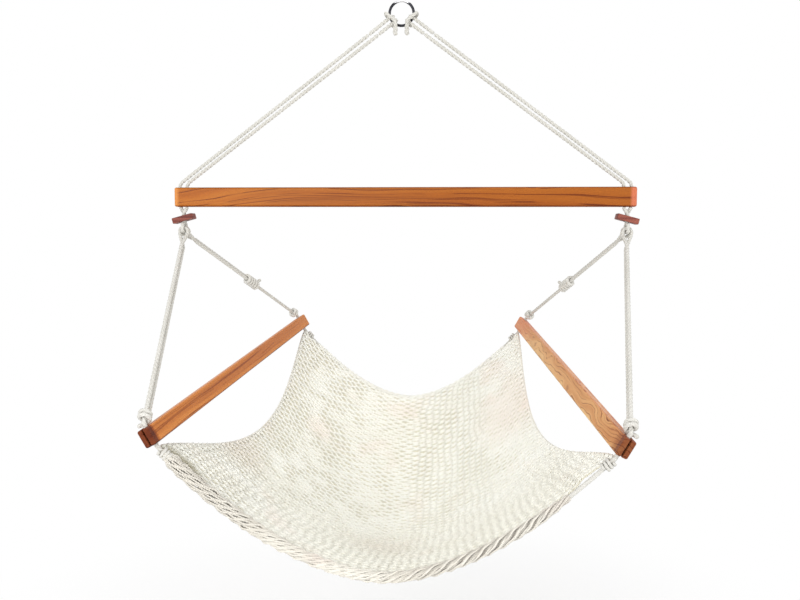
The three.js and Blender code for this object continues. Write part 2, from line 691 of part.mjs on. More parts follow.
// How far from a border the net starts, as a share of the way between the two borders
function netInset(across, border) {
  const step = (border === 0 ? 1 : -1) / (NET_COLUMNS * NET_ROWS);
  const place = netPoint(across, border);
  const stepLength = place.distanceTo(netPoint(across, border + step));
  const distance = borderPoint(border === 0, 1).distanceTo(point(Math.abs(place.x), place.y, place.z));
  return ((borderRadius(border === 0, distance) + NET_EDGE_GAP) / stepLength) * Math.abs(step);
}

function netGrid(column, row, lift) {
  const evenAcross = (2 * column) / NET_COLUMNS - 1;
  const frontInset = netInset(evenAcross * netReach(0), 0);
  const rearInset = netInset(evenAcross * netReach(0), 1);
  const rearward = frontInset + ((1 - frontInset - rearInset) * row) / NET_ROWS;
  const across = netReach(rearward) * evenAcross;
  const step = 1 / (NET_COLUMNS * NET_ROWS);
  const alongX = netPoint(across + step, rearward).sub(netPoint(across - step, rearward));
  const alongY = netPoint(across, rearward + step).sub(netPoint(across, rearward - step));
  return along(netPoint(across, rearward), alongX.cross(alongY).normalize(), lift);
}

function addNet() {
  const positions = [];
  const triangles = [];
  const rowLength = NET_COLUMNS + 1;
  const layer = rowLength * (NET_ROWS + 1);
  for (const lift of [NET_THICKNESS / 2, -NET_THICKNESS / 2]) {
    for (let row = 0; row <= NET_ROWS; row += 1) {
      for (let column = 0; column <= NET_COLUMNS; column += 1) {
        positions.push(...netGrid(column, row, lift).toArray());
      }
    }
  }
  const quad = (a, b, c, d) => triangles.push(a, b, c, a, c, d);
  for (let row = 0; row < NET_ROWS; row += 1) {
    for (let column = 0; column < NET_COLUMNS; column += 1) {
      const a = row * rowLength + column;
      quad(a, a + 1, a + 1 + rowLength, a + rowLength);
      quad(layer + a + rowLength, layer + a + 1 + rowLength, layer + a + 1, layer + a);
    }
  }
  const rim = [];
  for (let column = 0; column < NET_COLUMNS; column += 1) rim.push(column);
  for (let row = 0; row < NET_ROWS; row += 1) rim.push(row * rowLength + NET_COLUMNS);
  for (let column = NET_COLUMNS; column > 0; column -= 1) rim.push(NET_ROWS * rowLength + column);
  for (let row = NET_ROWS; row > 0; row -= 1) rim.push(row * rowLength);
  rim.forEach((place, i) => {
    const next = rim[(i + 1) % rim.length];
    quad(place, place + layer, next + layer, next);
  });
  const geometry = new THREE.BufferGeometry();
  geometry.setAttribute('position', new THREE.Float32BufferAttribute(positions, 3));
  geometry.setIndex(triangles);
  addMesh('seat_net', geometry, materials.rope);
}

addRing();
addSpreaderBar();
for (const [label, side] of SIDES) {
  addRingHitches(label, side);
  addUpperStrand(label, side, false);
  addUpperStrand(label, side, true);
  addToggle(label, side);
  addToggleLoop(label, side);
  addArm(label, side);
  addLeg(`front_leg_rope_${label}`, side, true, FRONT_HITCH_DISTANCE, FRONT_HITCH_TURNS);
  const rearLeg = addLeg(`rear_leg_rope_${label}`, side, false, REAR_HITCH_DISTANCE, REAR_HITCH_TURNS);
  addStopper(label, side, rearLeg);
  addLashing(`front_lashing_${label}`, side, true);
  addLashing(`rear_lashing_${label}`, side, false);
}
addBorderRope('front_border_rope', true);
addBorderRope('rear_border_rope', false);
addNet();

export default group;
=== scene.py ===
import math

import bpy
import numpy as np
from mathutils import Matrix, Vector


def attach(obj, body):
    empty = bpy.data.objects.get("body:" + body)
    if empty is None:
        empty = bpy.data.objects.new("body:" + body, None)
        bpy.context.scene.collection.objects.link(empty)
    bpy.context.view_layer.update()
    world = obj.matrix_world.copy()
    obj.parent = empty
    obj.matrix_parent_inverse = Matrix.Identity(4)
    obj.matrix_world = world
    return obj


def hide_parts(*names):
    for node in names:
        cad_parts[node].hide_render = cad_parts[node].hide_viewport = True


# Hammock chair, dressed: laid ropes, knotted hitches, oiled wood, a steel ring and the knotted
# seat net. Metres, +X to the right as seen from the front, +Y to the rear, +Z up, with the
# origin where a hook bears inside the ring.

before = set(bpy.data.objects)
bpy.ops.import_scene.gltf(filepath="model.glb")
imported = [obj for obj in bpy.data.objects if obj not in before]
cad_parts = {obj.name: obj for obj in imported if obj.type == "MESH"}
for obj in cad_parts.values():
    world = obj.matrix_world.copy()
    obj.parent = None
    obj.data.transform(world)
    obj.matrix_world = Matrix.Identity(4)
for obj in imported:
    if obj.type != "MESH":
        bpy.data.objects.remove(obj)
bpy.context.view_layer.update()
rng = np.random.default_rng(7)

# Rope. Turns are wound a little wide, so that their straight steps clear what is inside them.
# Grooves and rounded ends are in shares of the radius, and worn rope has shallower grooves.
STRANDS = 3
ROPE = 0.0085
ROPE_GAP = 0.00045
ROPE_R = ROPE / 2
ROPE_PITCH = ROPE + ROPE_GAP
CHORD_SHARE = 1.0353
TURN_RADIUS = ROPE_PITCH * CHORD_SHARE
COIL_PITCH = ROPE_PITCH * 1.03
TURN_STEPS = 24
LAY = 0.030
DEEPEST_GROOVE = 0.4
WORN_DEPTH = 0.45
NOSE, NOSE_END = 0.6, 0.18
UPRIGHT = 0.2

# How widely each rope rounds its corners
TURN_BEND, HITCH_BEND, STRAND_BEND, LOOP_BEND = 0.0015, 0.0032, 0.006, 0.0026
LEG_BEND, STOPPER_BEND, LASHING_BEND, SELVEDGE_BEND = 0.0016, 0.0012, 0.0008, 0.006

# Ring and hitches, with places on the ring in degrees from its lowest point
RING_WIRE = 0.006
RING_RADIUS = 0.027
RING_HEIGHT = -0.024
RING_STEPS, WIRE_STEPS = 96, 24
LOWER_HITCH, UPPER_HITCH, CROSSING_LEG = 38.0, 67.0, 84.0
HITCH_TURN = RING_WIRE / 2 + ROPE_GAP + ROPE_R
CROSSING_DEPTH = HITCH_TURN + ROPE_PITCH
TAIL_SIDE, TAIL_TOP, TAIL_LENGTH = 0.013, -0.044, 0.032
TAIL_LOOSENED = 0.30
SHORT_TAIL = 0.009
SWING_DROP = 0.072
SWING_GAP = 0.0015

# Bar, toggles and loops
BAR_TOP, BAR_BOTTOM = -0.40975, -0.45425
SIDE_X = 0.507
HOLE_SPACING = 0.017
TOGGLE_HEIGHT = BAR_BOTTOM - 0.027
TOGGLE_HALF, SLOT_EASE = 0.0065, 0.0025
SLOT_TOP = TOGGLE_HEIGHT + TOGGLE_HALF + ROPE_R / 2 + SLOT_EASE
TWIST_HEIGHT, TWIST_OFFSET = BAR_BOTTOM + (SLOT_TOP - BAR_BOTTOM) * 0.6, 0.0043
PRESSED, PRESSED_OVER = 0.07, 0.010
LOOP_TOP = TOGGLE_HEIGHT - 0.0092
LOOP_FLARE = LOOP_TOP - ROPE_PITCH * 0.7
LOOP_BOTTOM = LOOP_TOP - ROPE_PITCH * 2.3

# Arms
ARM_HEIGHT = 0.034
ARM_LEAN = math.radians(27.8)
ARM_FRONT = np.array([0.412, -0.471, -0.876])
ARM_REAR = np.array([0.311, 0.421, -0.764])
FRONT_HOLE, REAR_HOLE = 0.015, 0.025
ARM_STAND = 0.008

# Legs: where each hitch starts above the arm and how many turns it has
FRONT_HITCH = (0.008, 2)
REAR_HITCH = (0.200, 5)
LEG_TAIL = 0.018
LEG_GATHER = 0.042
SHORT_FALL = ROPE_PITCH * 0.6
STOPPER = 0.011

# Where leg, border and net come together
CORNER_ROPE = 0.018
LASHING_CORD, LASHING_LAY, LASHING_TURNS = 0.006, 0.022, 3

# The net's patch: the sag and fullness of the front and rear borders and of the free sides
FRONT_SAG, REAR_SAG, SIDE_SAG = (0.224, 1.78), (0.190, 1.78), (0.121, 1.35)
NET_DRAW_IN, NET_SKEW = 0.033, 0.032

# A border's roll beside each arm: its full radius, and where it grows from the bare rope. The
# front roll is laced right up to the left arm and stays bare longer at the right. Further in, it
# goes over to its middle radius.
ROLL_START = 0.006
ROLLS = {(True, -1): (0.0132, -0.006, 0.036), (True, 1): (0.0108, 0.060, 0.180),
         (False, -1): (0.0075, 0.030, 0.080), (False, 1): (0.0075, 0.030, 0.080)}
ROLL_MIDDLE = {True: 0.0110, False: 0.0075}
MIDDLE_REACH = (0.18, 0.34)

# A border's cords: how many, in how many bundles, the length of one turn, a cord's radius, the
# distance between two lacings, and how far the roll swells between them
ROLL_CORDS = {True: (20, 5, 0.128, 0.0023, 0.027, 0.085),
              False: (12, 3, 0.058, 0.0020, 0.015, 0.11)}
ROLL_CORD_LAY = 0.016
CORE_START, CORE_DEPTH = 0.008, 0.35
COVERED = 0.0012

# The gap between net and border near a corner: its height, its place and its width
REAR_SLIT = (0.003, 0.04, 0.03)
FRONT_SLITS = {-1: (0.0060, 0.065, 0.040), 1: (0.024, 0.056, 0.034)}
ROW_OVERLAP = 0.001

# The net's cords. Sway and lift are for a cord that has the rows' usual pitch.
NET_ROWS = 104
NET_COLUMNS = 300
ROWS_IN_PIECE = 26
NET_WAVE = 0.036
NET_CORD, NET_PITCH, NET_SIZES = 0.0087, 0.0090, (0.45, 1.10)
NET_LAY = 0.027
NET_SWAY, NET_SWAY_LEFT = 0.00095, 0.0004
NET_LIFT, NET_LIFT_OPEN = 0.0010, 0.0012
ROW_DRIFT, ROW_OFFSET, KNOT_JITTER = 0.10, 0.22, 0.75
SELVEDGE_R, SELVEDGE_LAY, SELVEDGE_STEP = 0.0030, 0.020, 0.0025
FILLING_HALF, FILLING_REACH = 0.0004, 0.9

# How much shade is painted in the cords' own grooves and in the columns between crossings, how
# much shadow is painted in the slit beside the front roll at the left, how narrow the painted
# seams are, and where that slit lies
CORD_SHADE, COLUMN_SHADE, SLIT_SHADOW = 0.2, 0.42, 1.1
SEAM_SHARPNESS = 2.8
SLIT_ROWS, SLIT_PLACE, SLIT_WIDTH = 1.7, 0.055, 0.045


def vec(x, y, z):
    return np.array([x, y, z], dtype=float)


def unit(v):
    """Vectors divided by their length."""
    return v / np.maximum(np.linalg.norm(v, axis=-1, keepdims=True), 1e-12)


def square_to(axis, wish):
    """The part of a wish that is square to an axis, of length one."""
    return unit(wish - axis * np.dot(wish, axis))


def smoothstep(x, low, high):
    """0 below low, 1 above high, and 3 t^2 - 2 t^3 between."""
    t = np.clip((x - low) / (high - low), 0, 1)
    return t * t * (3 - 2 * t)


def bell(distance, width):
    """exp(-(distance / width)^2)."""
    return np.exp(-(distance / width) ** 2)


def blur_weights(offsets, spread):
    """exp(-(offset / spread)^2 / 2), as shares of their sum."""
    weights = np.exp(-0.5 * (offsets / spread) ** 2)
    return weights / weights.sum()


def round_line(middle, first, second, reach, angle):
    """middle + reach (cos(angle) first + sin(angle) second)."""
    return (middle + first * (reach * np.cos(angle))[..., None]
            + second * (reach * np.sin(angle))[..., None])


# Paths

def length_along(path):
    """Distance from the start to each point of a path."""
    return np.concatenate([[0.0], np.cumsum(np.linalg.norm(np.diff(path, axis=0), axis=1))])


def placed_along(places, run, values):
    """Points or directions along a path, read off at other places."""
    return np.stack([np.interp(places, run, values[:, k]) for k in range(3)], axis=1)


def resampled(path, step):
    """The same line with points spaced evenly, about a step apart."""
    path = np.asarray(path, dtype=float)
    run = length_along(path)
    places = np.linspace(0.0, run[-1], max(3, int(round(run[-1] / step)) + 1))
    return placed_along(places, run, path)


def softened(corners, spread, step=0.0016):
    """A polyline as rope takes it: each point becomes the weighted mean of its neighbours, with
    blur_weights, and the two ends stay where they are."""
    path = resampled(corners, step)
    reach = int(math.ceil(3 * spread / step))
    weights = blur_weights(np.arange(-reach, reach + 1) * step, spread)
    padded = np.pad(path, ((reach, reach), (0, 0)), mode="reflect", reflect_type="odd")
    path = np.stack([np.convolve(padded[:, k], weights, mode="valid") for k in range(3)], axis=1)
    return resampled(path, step)


def path_frames(path):
    """Normal and side at each point. The normal is carried along without twist, from one that is
    level, or square to X where the path starts upright."""
    tangent = unit(np.gradient(path, axis=0))
    normal = np.cross(tangent[0], vec(0, 0, 1))
    if np.linalg.norm(normal) < UPRIGHT:
        normal = np.cross(tangent[0], vec(1, 0, 0))
    normal, normals = unit(normal), []
    for direction in tangent:
        normal = square_to(direction, normal)
        normals.append(normal)
    return np.array(normals), np.cross(tangent, normals)


# Meshes

def swept_faces(rings, around):
    """Quads of a tube of so many rings, each of so many points, with one face at each end."""
    i, k = np.arange(rings - 1)[:, None] * around, np.arange(around)
    a, b = i + k, i + (k + 1) % around
    quads = np.stack([a, b, b + around, a + around], axis=-1).reshape(-1, 4)
    return quads, [tuple(range(around))[::-1], tuple(range((rings - 1) * around, rings * around))]


def linked_object(name, data):
    """A new object of the scene."""
    thing = bpy.data.objects.new(name, data)
    bpy.context.scene.collection.objects.link(thing)
    return thing


def new_piece(name, surface, material, body, stands_for):
    """A mesh object from arrays of points and faces, ridden on its body."""
    points, quads, ends, uv, groove_shade = surface
    mesh = bpy.data.meshes.new(name)
    mesh.from_pydata(points.tolist(), [], quads.tolist() + list(ends))
    mesh.polygons.foreach_set("use_smooth", np.full(len(mesh.polygons), True))
    layer = mesh.uv_layers.new(name="UVMap")
    loops = np.empty(len(mesh.loops), dtype=np.int32)
    mesh.loops.foreach_get("vertex_index", loops)
    layer.data.foreach_set("uv", uv[loops].astype(np.float32).ravel())
    # The groove_shade attribute: how much shade the finishes paint on each point.
    layer = mesh.attributes.new("groove_shade", "FLOAT", "POINT")
    layer.data.foreach_set("value", groove_shade.astype(np.float32))
    mesh.update()
    piece = linked_object(name, mesh)
    mesh.materials.append(material)
    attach(piece, body)
    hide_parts(*stands_for)


def laid_outline(around):
    """The outline of round strands that touch each other inside a circle of radius one, as
    r(a) = c cos a + sqrt(s^2 - c^2 sin^2 a) from each strand's middle."""
    angle = np.arange(STRANDS * around) * math.tau / (STRANDS * around)
    half = math.pi / STRANDS
    strand = 1 / (1 + 1 / math.sin(half))
    centre = 1 - strand
    local = (angle + half) % (2 * half) - half
    outline = centre * np.cos(local) + np.sqrt(
        np.maximum(strand ** 2 - (centre * np.sin(local)) ** 2, 0.0))
    return angle, np.maximum(outline, 1 - DEEPEST_GROOVE)


def rope_uv(angle, run):
    """U round the rope from 0 to 1, and V in metres along it."""
    return np.stack(np.broadcast_arrays(angle / math.tau, run[:, None]), axis=-1).reshape(-1, 2)


def laid_surface(path, radius, lay=LAY, around=8, phase=0.0, handed=1.0, depth=1.0):
    """A laid rope: the outline of its strands, with its grooves at a share of their full depth,
    turns once in each lay as it is carried along the path. Its ends are rounded off."""
    normal, side = path_frames(path)
    run = length_along(path)
    size = np.ones(len(path)) * radius
    nose = np.clip(np.minimum(run, run[-1] - run) / (NOSE * radius), 0, 1)
    size = size * np.sqrt(np.clip(1 - (1 - nose) ** 2, NOSE_END, 1))
    angle, outline = laid_outline(around)
    outline = 1 - depth * (1 - outline)
    theta = angle + (phase + handed * math.tau * run / lay)[:, None]
    reach = outline * size[:, None]
    points = round_line(path[:, None, :], normal[:, None, :], side[:, None, :], reach, theta)
    quads, ends = swept_faces(len(path), len(angle))
    # How deep each point lies in its strands' grooves, which the finishes paint as shade.
    groove_shade = np.broadcast_to((1 - outline) / DEEPEST_GROOVE, reach.shape).reshape(-1)
    return points.reshape(-1, 3), quads, ends, rope_uv(angle, run), groove_shade


def joined(parts):
    """Several surfaces as one set of arrays."""
    points, quads, ends, uv, groove_shade = zip(*parts)
    bases = np.cumsum([0] + [len(part) for part in points])
    quads = [part + base for part, base in zip(quads, bases)]
    ends = [tuple(int(k + base) for k in end) for part, base in zip(ends, bases) for end in part]
    return (np.concatenate(points), np.concatenate(quads), ends, np.concatenate(uv),
            np.concatenate(groove_shade))


def laid_rope(name, path, body, stands_for, radius=ROPE_R, **turning):
    """A laid rope as a piece. The turning is laid_surface's lay, phase, hand and depth."""
    new_piece(name, laid_surface(path, radius, **turning), rope_finish, body, stands_for)


# Finishes

class Nodes:
    """Short calls for building the node tree of a material or of the world."""

    def __init__(self, owner, shader="Principled BSDF"):
        owner.use_nodes = True
        self.owner, self.tree = owner, owner.node_tree
        self.shader = self.tree.nodes[shader]

    def feed(self, socket, value):
        if isinstance(value, bpy.types.NodeSocket):
            self.tree.links.new(value, socket)
        else:
            socket.default_value = value

    def add(self, kind, inputs=None, **settings):
        node = self.tree.nodes.new("ShaderNode" + kind)
        for key, value in settings.items():
            setattr(node, key, value)
        for key, value in (inputs or {}).items():
            self.feed(node.inputs[key], value)
        return node

    def where(self, kind="Object"):
        return self.add("TexCoord").outputs[kind]

    def math(self, operation, a, b=0.0):
        return self.add("Math", {0: a, 1: b}, operation=operation).outputs[0]

    def times(self, a, b):
        return self.math("MULTIPLY", a, b)

    def distance(self, a, b):
        return self.add("VectorMath", {0: a, 1: b}, operation="DISTANCE").outputs["Value"]

    def placed(self, vector, scale=(1, 1, 1), shift=(0, 0, 0), turn=(0, 0, 0)):
        return self.add("Mapping", {"Vector": vector, "Scale": scale, "Location": shift,
                                    "Rotation": turn}).outputs[0]

    def noise(self, vector, scale=1.0, detail=2.0, roughness=0.5):
        return self.add("TexNoise", {"Vector": vector, "Scale": scale, "Detail": detail,
                                     "Roughness": roughness}).outputs["Fac"]

    def ramp(self, value, stops):
        node = self.add("ValToRGB", {"Fac": value})
        elements = node.color_ramp.elements
        while len(elements) < len(stops):
            elements.new(0.5)
        for element, (place, colour) in zip(elements, stops):
            element.position = place
            element.color = (*colour, 1)
        return node.outputs["Color"]

    def rise(self, value, low, high):
        """0 below low and 1 above high, with a smooth step between."""
        ends = {"Value": value, "From Min": low, "From Max": high}
        return self.add("MapRange", ends, interpolation_type="SMOOTHSTEP").outputs["Result"]

    def fall(self, value, low, high):
        """1 below low and 0 above high, with a smooth step between."""
        return self.math("SUBTRACT", 1.0, self.rise(value, low, high))

    def mix(self, factor, a, b, blend="MIX"):
        node = self.add("Mix", data_type="RGBA", blend_type=blend)
        for place, value in ((0, factor), (6, a), (7, b)):
            self.feed(node.inputs[place], (*value, 1) if isinstance(value, tuple) else value)
        return node.outputs[2]

    def shaded(self, colour, amount, tint):
        """A colour multiplied by a tint as far as an amount from 0 to 1 says."""
        return self.mix(amount, colour, tint, "MULTIPLY")

    def bump(self, height, strength, distance, normal=None):
        inputs = {"Height": height, "Strength": strength, "Distance": distance}
        if normal is not None:
            inputs["Normal"] = normal
        return self.add("Bump", inputs).outputs["Normal"]

    def finish(self, **values):
        for key, value in values.items():
            label = key.replace("_", " ").title().replace("Ior", "IOR")
            self.feed(self.shader.inputs[label], value)
        return self.owner

    def show(self, output, plain, direct):
        """One shader for what the camera sees straight, mirrored or through glass, and another
        for all other light."""
        rays = self.add("LightPath").outputs
        seen = self.math("MAXIMUM", rays["Is Camera Ray"], rays["Is Glossy Ray"])
        seen = self.math("MAXIMUM", seen, rays["Is Transmission Ray"])
        mixed = self.add("MixShader", {0: seen, 1: plain, 2: direct})
        self.feed(self.tree.nodes[output].inputs["Surface"], mixed.outputs[0])


def linear(r, g, b):
    """A display colour from 0 to 255 as the linear values that a shader takes."""
    c = np.array([r, g, b]) / 255.0
    return tuple(np.where(c <= 0.04045, c / 12.92, ((c + 0.055) / 1.055) ** 2.4).tolist())


def make_rope_finish(name, light, shade, seam_shade, seam_shade_depth, blush=None, tinged_or_shaded=(), sheen=0.3):
    """Cream cotton rope: yarns that run with each strand, soft fuzz, and painted shade in its
    grooves, as the groove_shade attribute gives it.
    It may blush in loose patches, and each tinted place fades out from its middle; some tinted
    places are tints of the cord and some are painted shade."""
    n = Nodes(bpy.data.materials.new(name))
    where = n.where()
    yarn = n.noise(n.placed(n.where("UV"), (70.0, 240.0, 1.0)), 1.0, 3.0, 0.6)
    fuzz = n.noise(where, 1300.0)
    base = n.ramp(n.noise(where, 12.0, 3.0), [(0.35, linear(*shade)), (0.65, linear(*light))])
    if blush is not None:
        patches = n.noise(n.placed(where, (7.0, 7.0, 9.0), (3.1, 0.4, 1.7)))
        base = n.mix(n.times(n.rise(patches, 0.55, 0.72), 0.35), base, linear(*blush))
    for middle, reach, share, colour in tinged_or_shaded:
        tinge_or_shade = n.fall(n.distance(where, middle), 0.2 * reach, reach)
        base = n.mix(n.times(tinge_or_shade, share), base, linear(*colour))
    # Painted shade: the shade colour is mixed in as deep as each point lies in its strands'
    # grooves.
    groove_shade = n.add("Attribute", attribute_name="groove_shade").outputs["Fac"]
    base = n.mix(n.times(n.math("POWER", groove_shade, 1.5), seam_shade_depth), base, linear(*seam_shade))
    base = n.shaded(base, 0.4, n.ramp(yarn, [(0.3, (0.9, 0.9, 0.88)), (0.62, (1, 1, 1))]))
    normal = n.bump(fuzz, 0.2, 0.0004, n.bump(yarn, 0.3, 0.0005))
    return n.finish(base_color=base, normal=normal, roughness=0.88, sheen_weight=sheen,
                    sheen_roughness=0.5, specular_ior_level=0.2)


def make_wood_finish(name, tones, seed, bend, turn=(0, 0, 0), shift=(0, 0, 0), bands=55.0,
                     streak=0.55, knots=(), zones=None, gloss=0.42, waves=(2.4, 16.0),
                     oval=0.42, slant=None, lines=None):
    """Oiled wood with its length on the pattern's X. The grain line is the height plus a slow
    noise, and near each knot it blends into the distance from the knot, stretched along the
    grain. Broad bands, dark streaks and pores follow that line, and thin lines lie where its sine
    is near one, with gaps in them. The tones are those of three bands, the streaks and knots."""
    n = Nodes(bpy.data.materials.new(name))
    tones = [linear(*tone) for tone in tones]
    local = n.placed(n.where(), (1, 1, 1), shift, turn)
    x, y, z = n.add("SeparateXYZ", {0: local}).outputs
    along, across = waves
    wander = n.noise(n.placed(local, (along, across, across), (seed, seed, 0)), 1.0, 2.0, 0.45)
    line = n.math("ADD", y, n.times(n.math("SUBTRACT", wander, 0.5), bend))
    if slant is not None:
        start, end, height = slant
        line = n.math("SUBTRACT", line, n.times(n.rise(x, start, end), height))
    mark = None
    for place, height, size in knots:
        above = n.math("SUBTRACT", line, height)
        squares = [n.math("POWER", n.math("ABSOLUTE", side), 2.0)
                   for side in (above, n.times(n.math("SUBTRACT", x, place), oval))]
        away = n.math("SQRT", n.math("ADD", *squares))
        near = n.fall(away, 0.25 * size, size)
        line = n.math("ADD", line, n.times(near, n.math("SUBTRACT", away, above)))
        spot = n.fall(away, 0.06 * size, 0.34 * size)
        mark = spot if mark is None else n.math("MAXIMUM", mark, spot)
    cut = n.add("CombineXYZ", {0: x, 1: line, 2: z}).outputs[0]
    broad = n.noise(n.placed(cut, (0.9, bands, bands), (seed * 3, 0, 0)), 1.0, 1.5, 0.5)
    colour = n.ramp(broad, [(0.32, tones[0]), (0.47, tones[1]), (0.66, tones[2])])
    fine = bands * 4.2
    streaks = n.noise(n.placed(cut, (2.2, fine, fine), (seed * 5, 0, 0)))
    colour = n.shaded(colour, streak, n.ramp(streaks, [(0.30, tones[3]), (0.43, (1, 1, 1))]))
    pores = n.noise(n.placed(cut, (30.0, 1100.0, 1100.0)), 1.0, 3.0, 0.7)
    colour = n.shaded(colour, 0.3, n.ramp(pores, [(0.36, (0.6, 0.5, 0.42)), (0.56, (1, 1, 1))]))
    if lines is not None:
        spacing, share, gaps = lines
        loose = n.noise(n.placed(cut, (3.0, 60.0, 60.0), (seed, 1.7, 0)))
        turns = n.math("ADD", n.times(line, math.tau / spacing), n.times(loose, 5.0))
        drawn = n.rise(n.math("SINE", turns), 0.86, 0.985)
        kept = n.noise(n.placed(local, (7.0, 70.0, 70.0), (seed, 3.1, 0)))
        drawn = n.times(n.times(drawn, n.rise(kept, gaps, gaps + 0.1)), share)
        colour = n.shaded(colour, drawn, (0.42, 0.27, 0.20))
    if mark is not None:
        colour = n.mix(n.times(mark, 0.6), colour, tones[4])
    if zones is not None:
        colour = zones(n, colour, x, y)
    return n.finish(base_color=colour, normal=n.bump(pores, 0.2, 0.0003), roughness=gloss,
                    specular_ior_level=0.16, coat_weight=0.03, coat_roughness=0.3)


# Zones of the wood: x runs along the piece and y up its height

def bar_zones(n, colour, x, y):
    """The bar is paler at its left end and pink at its right end, with painted shade on the
    roundings of both edges.
    """
    colour = n.shaded(colour, n.rise(x, -0.46, -0.2), (0.82, 0.76, 0.74))
    colour = n.mix(n.times(n.rise(x, 0.509, 0.517), 0.8), colour, linear(204, 114, 84))
    colour = n.mix(n.rise(n.times(x, -1.0), 0.512, 0.522), colour, linear(204, 132, 66))
    # Painted shade along the rounded top and bottom edges.
    upper = n.times(n.rise(y, 0.0195, 0.0212), n.fall(y, 0.0216, 0.0222))
    lower = n.times(n.rise(y, -0.0222, -0.0216), n.fall(y, -0.0205, -0.018))
    return n.shaded(n.shaded(colour, upper, (0.50, 0.42, 0.36)), lower, (0.62, 0.52, 0.45))


def arm_end_zones(n, colour, x, brown, end_tint):
    """The sawn front end of an arm is dark with end grain, also in the kerf and just behind it."""
    colour = n.shaded(colour, n.fall(x, 0.014, brown), (0.62, 0.48, 0.40))
    return n.shaded(colour, n.fall(x, 0.010, 0.014), end_tint)


def left_arm_zones(n, colour, x, y):
    """The left arm has painted shade along its lower edge and a painted highlight along its top.
    """
    # Painted shade along the lower edge.
    colour = n.shaded(colour, n.fall(y, -0.0158, -0.0135), (0.52, 0.38, 0.40))
    # Painted highlight along the top edge.
    colour = n.mix(n.times(n.rise(y, 0.0155, 0.0168), 0.35), colour, linear(214, 150, 114))
    return arm_end_zones(n, colour, x, 0.020, (0.40, 0.30, 0.40))


def right_arm_zones(n, colour, x, y):
    """The right arm is pink along its top and its rear end, and browner towards its front."""
    colour = n.mix(n.times(n.rise(y, 0.0140, 0.0165), 0.4), colour, linear(208, 120, 88))
    colour = n.mix(n.times(n.rise(x, 0.66, 0.86), 0.6), colour, linear(206, 112, 76))
    colour = n.shaded(colour, n.fall(x, 0.04, 0.16), (0.86, 0.74, 0.66))
    return arm_end_zones(n, colour, x, 0.040, (0.58, 0.46, 0.46))


def arm_frame(side):
    """An arm's two ends, its length direction, and its height leaned outwards about that."""
    front, rear = ARM_FRONT * vec(side, 1, 1), ARM_REAR * vec(side, 1, 1)
    length = unit(rear - front)
    lean = Matrix.Rotation(side * ARM_LEAN, 3, Vector(length))
    return front, rear, length, np.array(lean @ Vector(square_to(length, vec(0, 0, 1))))


def arm_hole(side, front, up):
    """Where rope comes out of an arm's hole, above the arm, or below it where up is -1."""
    front_end, rear_end, length, height = arm_frame(side)
    hole = front_end + length * FRONT_HOLE if front else rear_end - length * REAR_HOLE
    return hole + height * (up * (ARM_HEIGHT / 2 + ARM_STAND))


def arm_placing(side):
    """The turn and shift that carry an arm's length, height and thickness onto X, Y and Z."""
    front, _, length, height = arm_frame(side)
    rows = np.stack([length, height, np.cross(length, height)])
    return {"turn": tuple(Matrix(rows.tolist()).to_euler()),
            "shift": tuple((-rows @ front).tolist())}


def make_steel_finish():
    """Dark polished steel wire, with a painted highlight along its top."""
    n = Nodes(bpy.data.materials.new("ring_steel"))
    where = n.where()
    fine = n.noise(where, 260.0)
    height = n.add("SeparateXYZ", {0: where}).outputs[2]
    dark = n.ramp(fine, [(0.3, linear(38, 38, 42)), (0.7, linear(58, 58, 62))])
    # Painted highlight: the top of the wire is painted near white.
    colour = n.mix(n.rise(height, -0.0034, 0.0004), dark, linear(226, 226, 228))
    rough = n.ramp(fine, [(0.3, (0.18,) * 3), (0.7, (0.3,) * 3)])
    return n.finish(base_color=colour, roughness=rough, metallic=1.0)


# Rope: its shade colour (180, 178, 169) is painted shade in the grooves between strands.
rope_finish = make_rope_finish("cotton_rope", (211, 209, 203), (204, 202, 195),
                               (180, 178, 169), 0.42, sheen=0.05)
# Net cord: its shade colour (180, 175, 154) is painted shade between the cords. Of the tinted
# places, the pale pink ones at (0.279, 0.156) and (-0.216, 0.143) are the cord's own tint. The
# brownish one at the bottom and the one at the left front are a pink tint and painted shade. The
# two grey ones at the front are painted shade.
net_finish = make_rope_finish(
    "net_cord", (254, 254, 248), (251, 250, 242), (180, 175, 154), 0.95, (250, 234, 224),
    sheen=0.2, tinged_or_shaded=(((-0.015, -0.233, -1.165), 0.11, 0.35, (222, 208, 196)),
                       ((0.279, 0.156, -0.942), 0.17, 0.32, (252, 234, 226)),
                       ((-0.216, 0.143, -1.012), 0.06, 0.3, (250, 230, 220)),
                       ((-0.342, -0.174, -0.961), 0.12, 0.35, (240, 226, 214)),
                       ((0.02, -0.34, -1.15), 0.30, 0.55, (240, 238, 226)),
                       ((0.26, -0.36, -1.06), 0.24, 0.55, (243, 241, 229))))
# Roll cord: its shade colour (120, 112, 104) is painted shade between the roll's cords.
roll_finish = make_rope_finish("roll_cord", (236, 232, 222), (229, 224, 213), (120, 112, 104), 0.9,
                               (228, 208, 198), sheen=0.1)
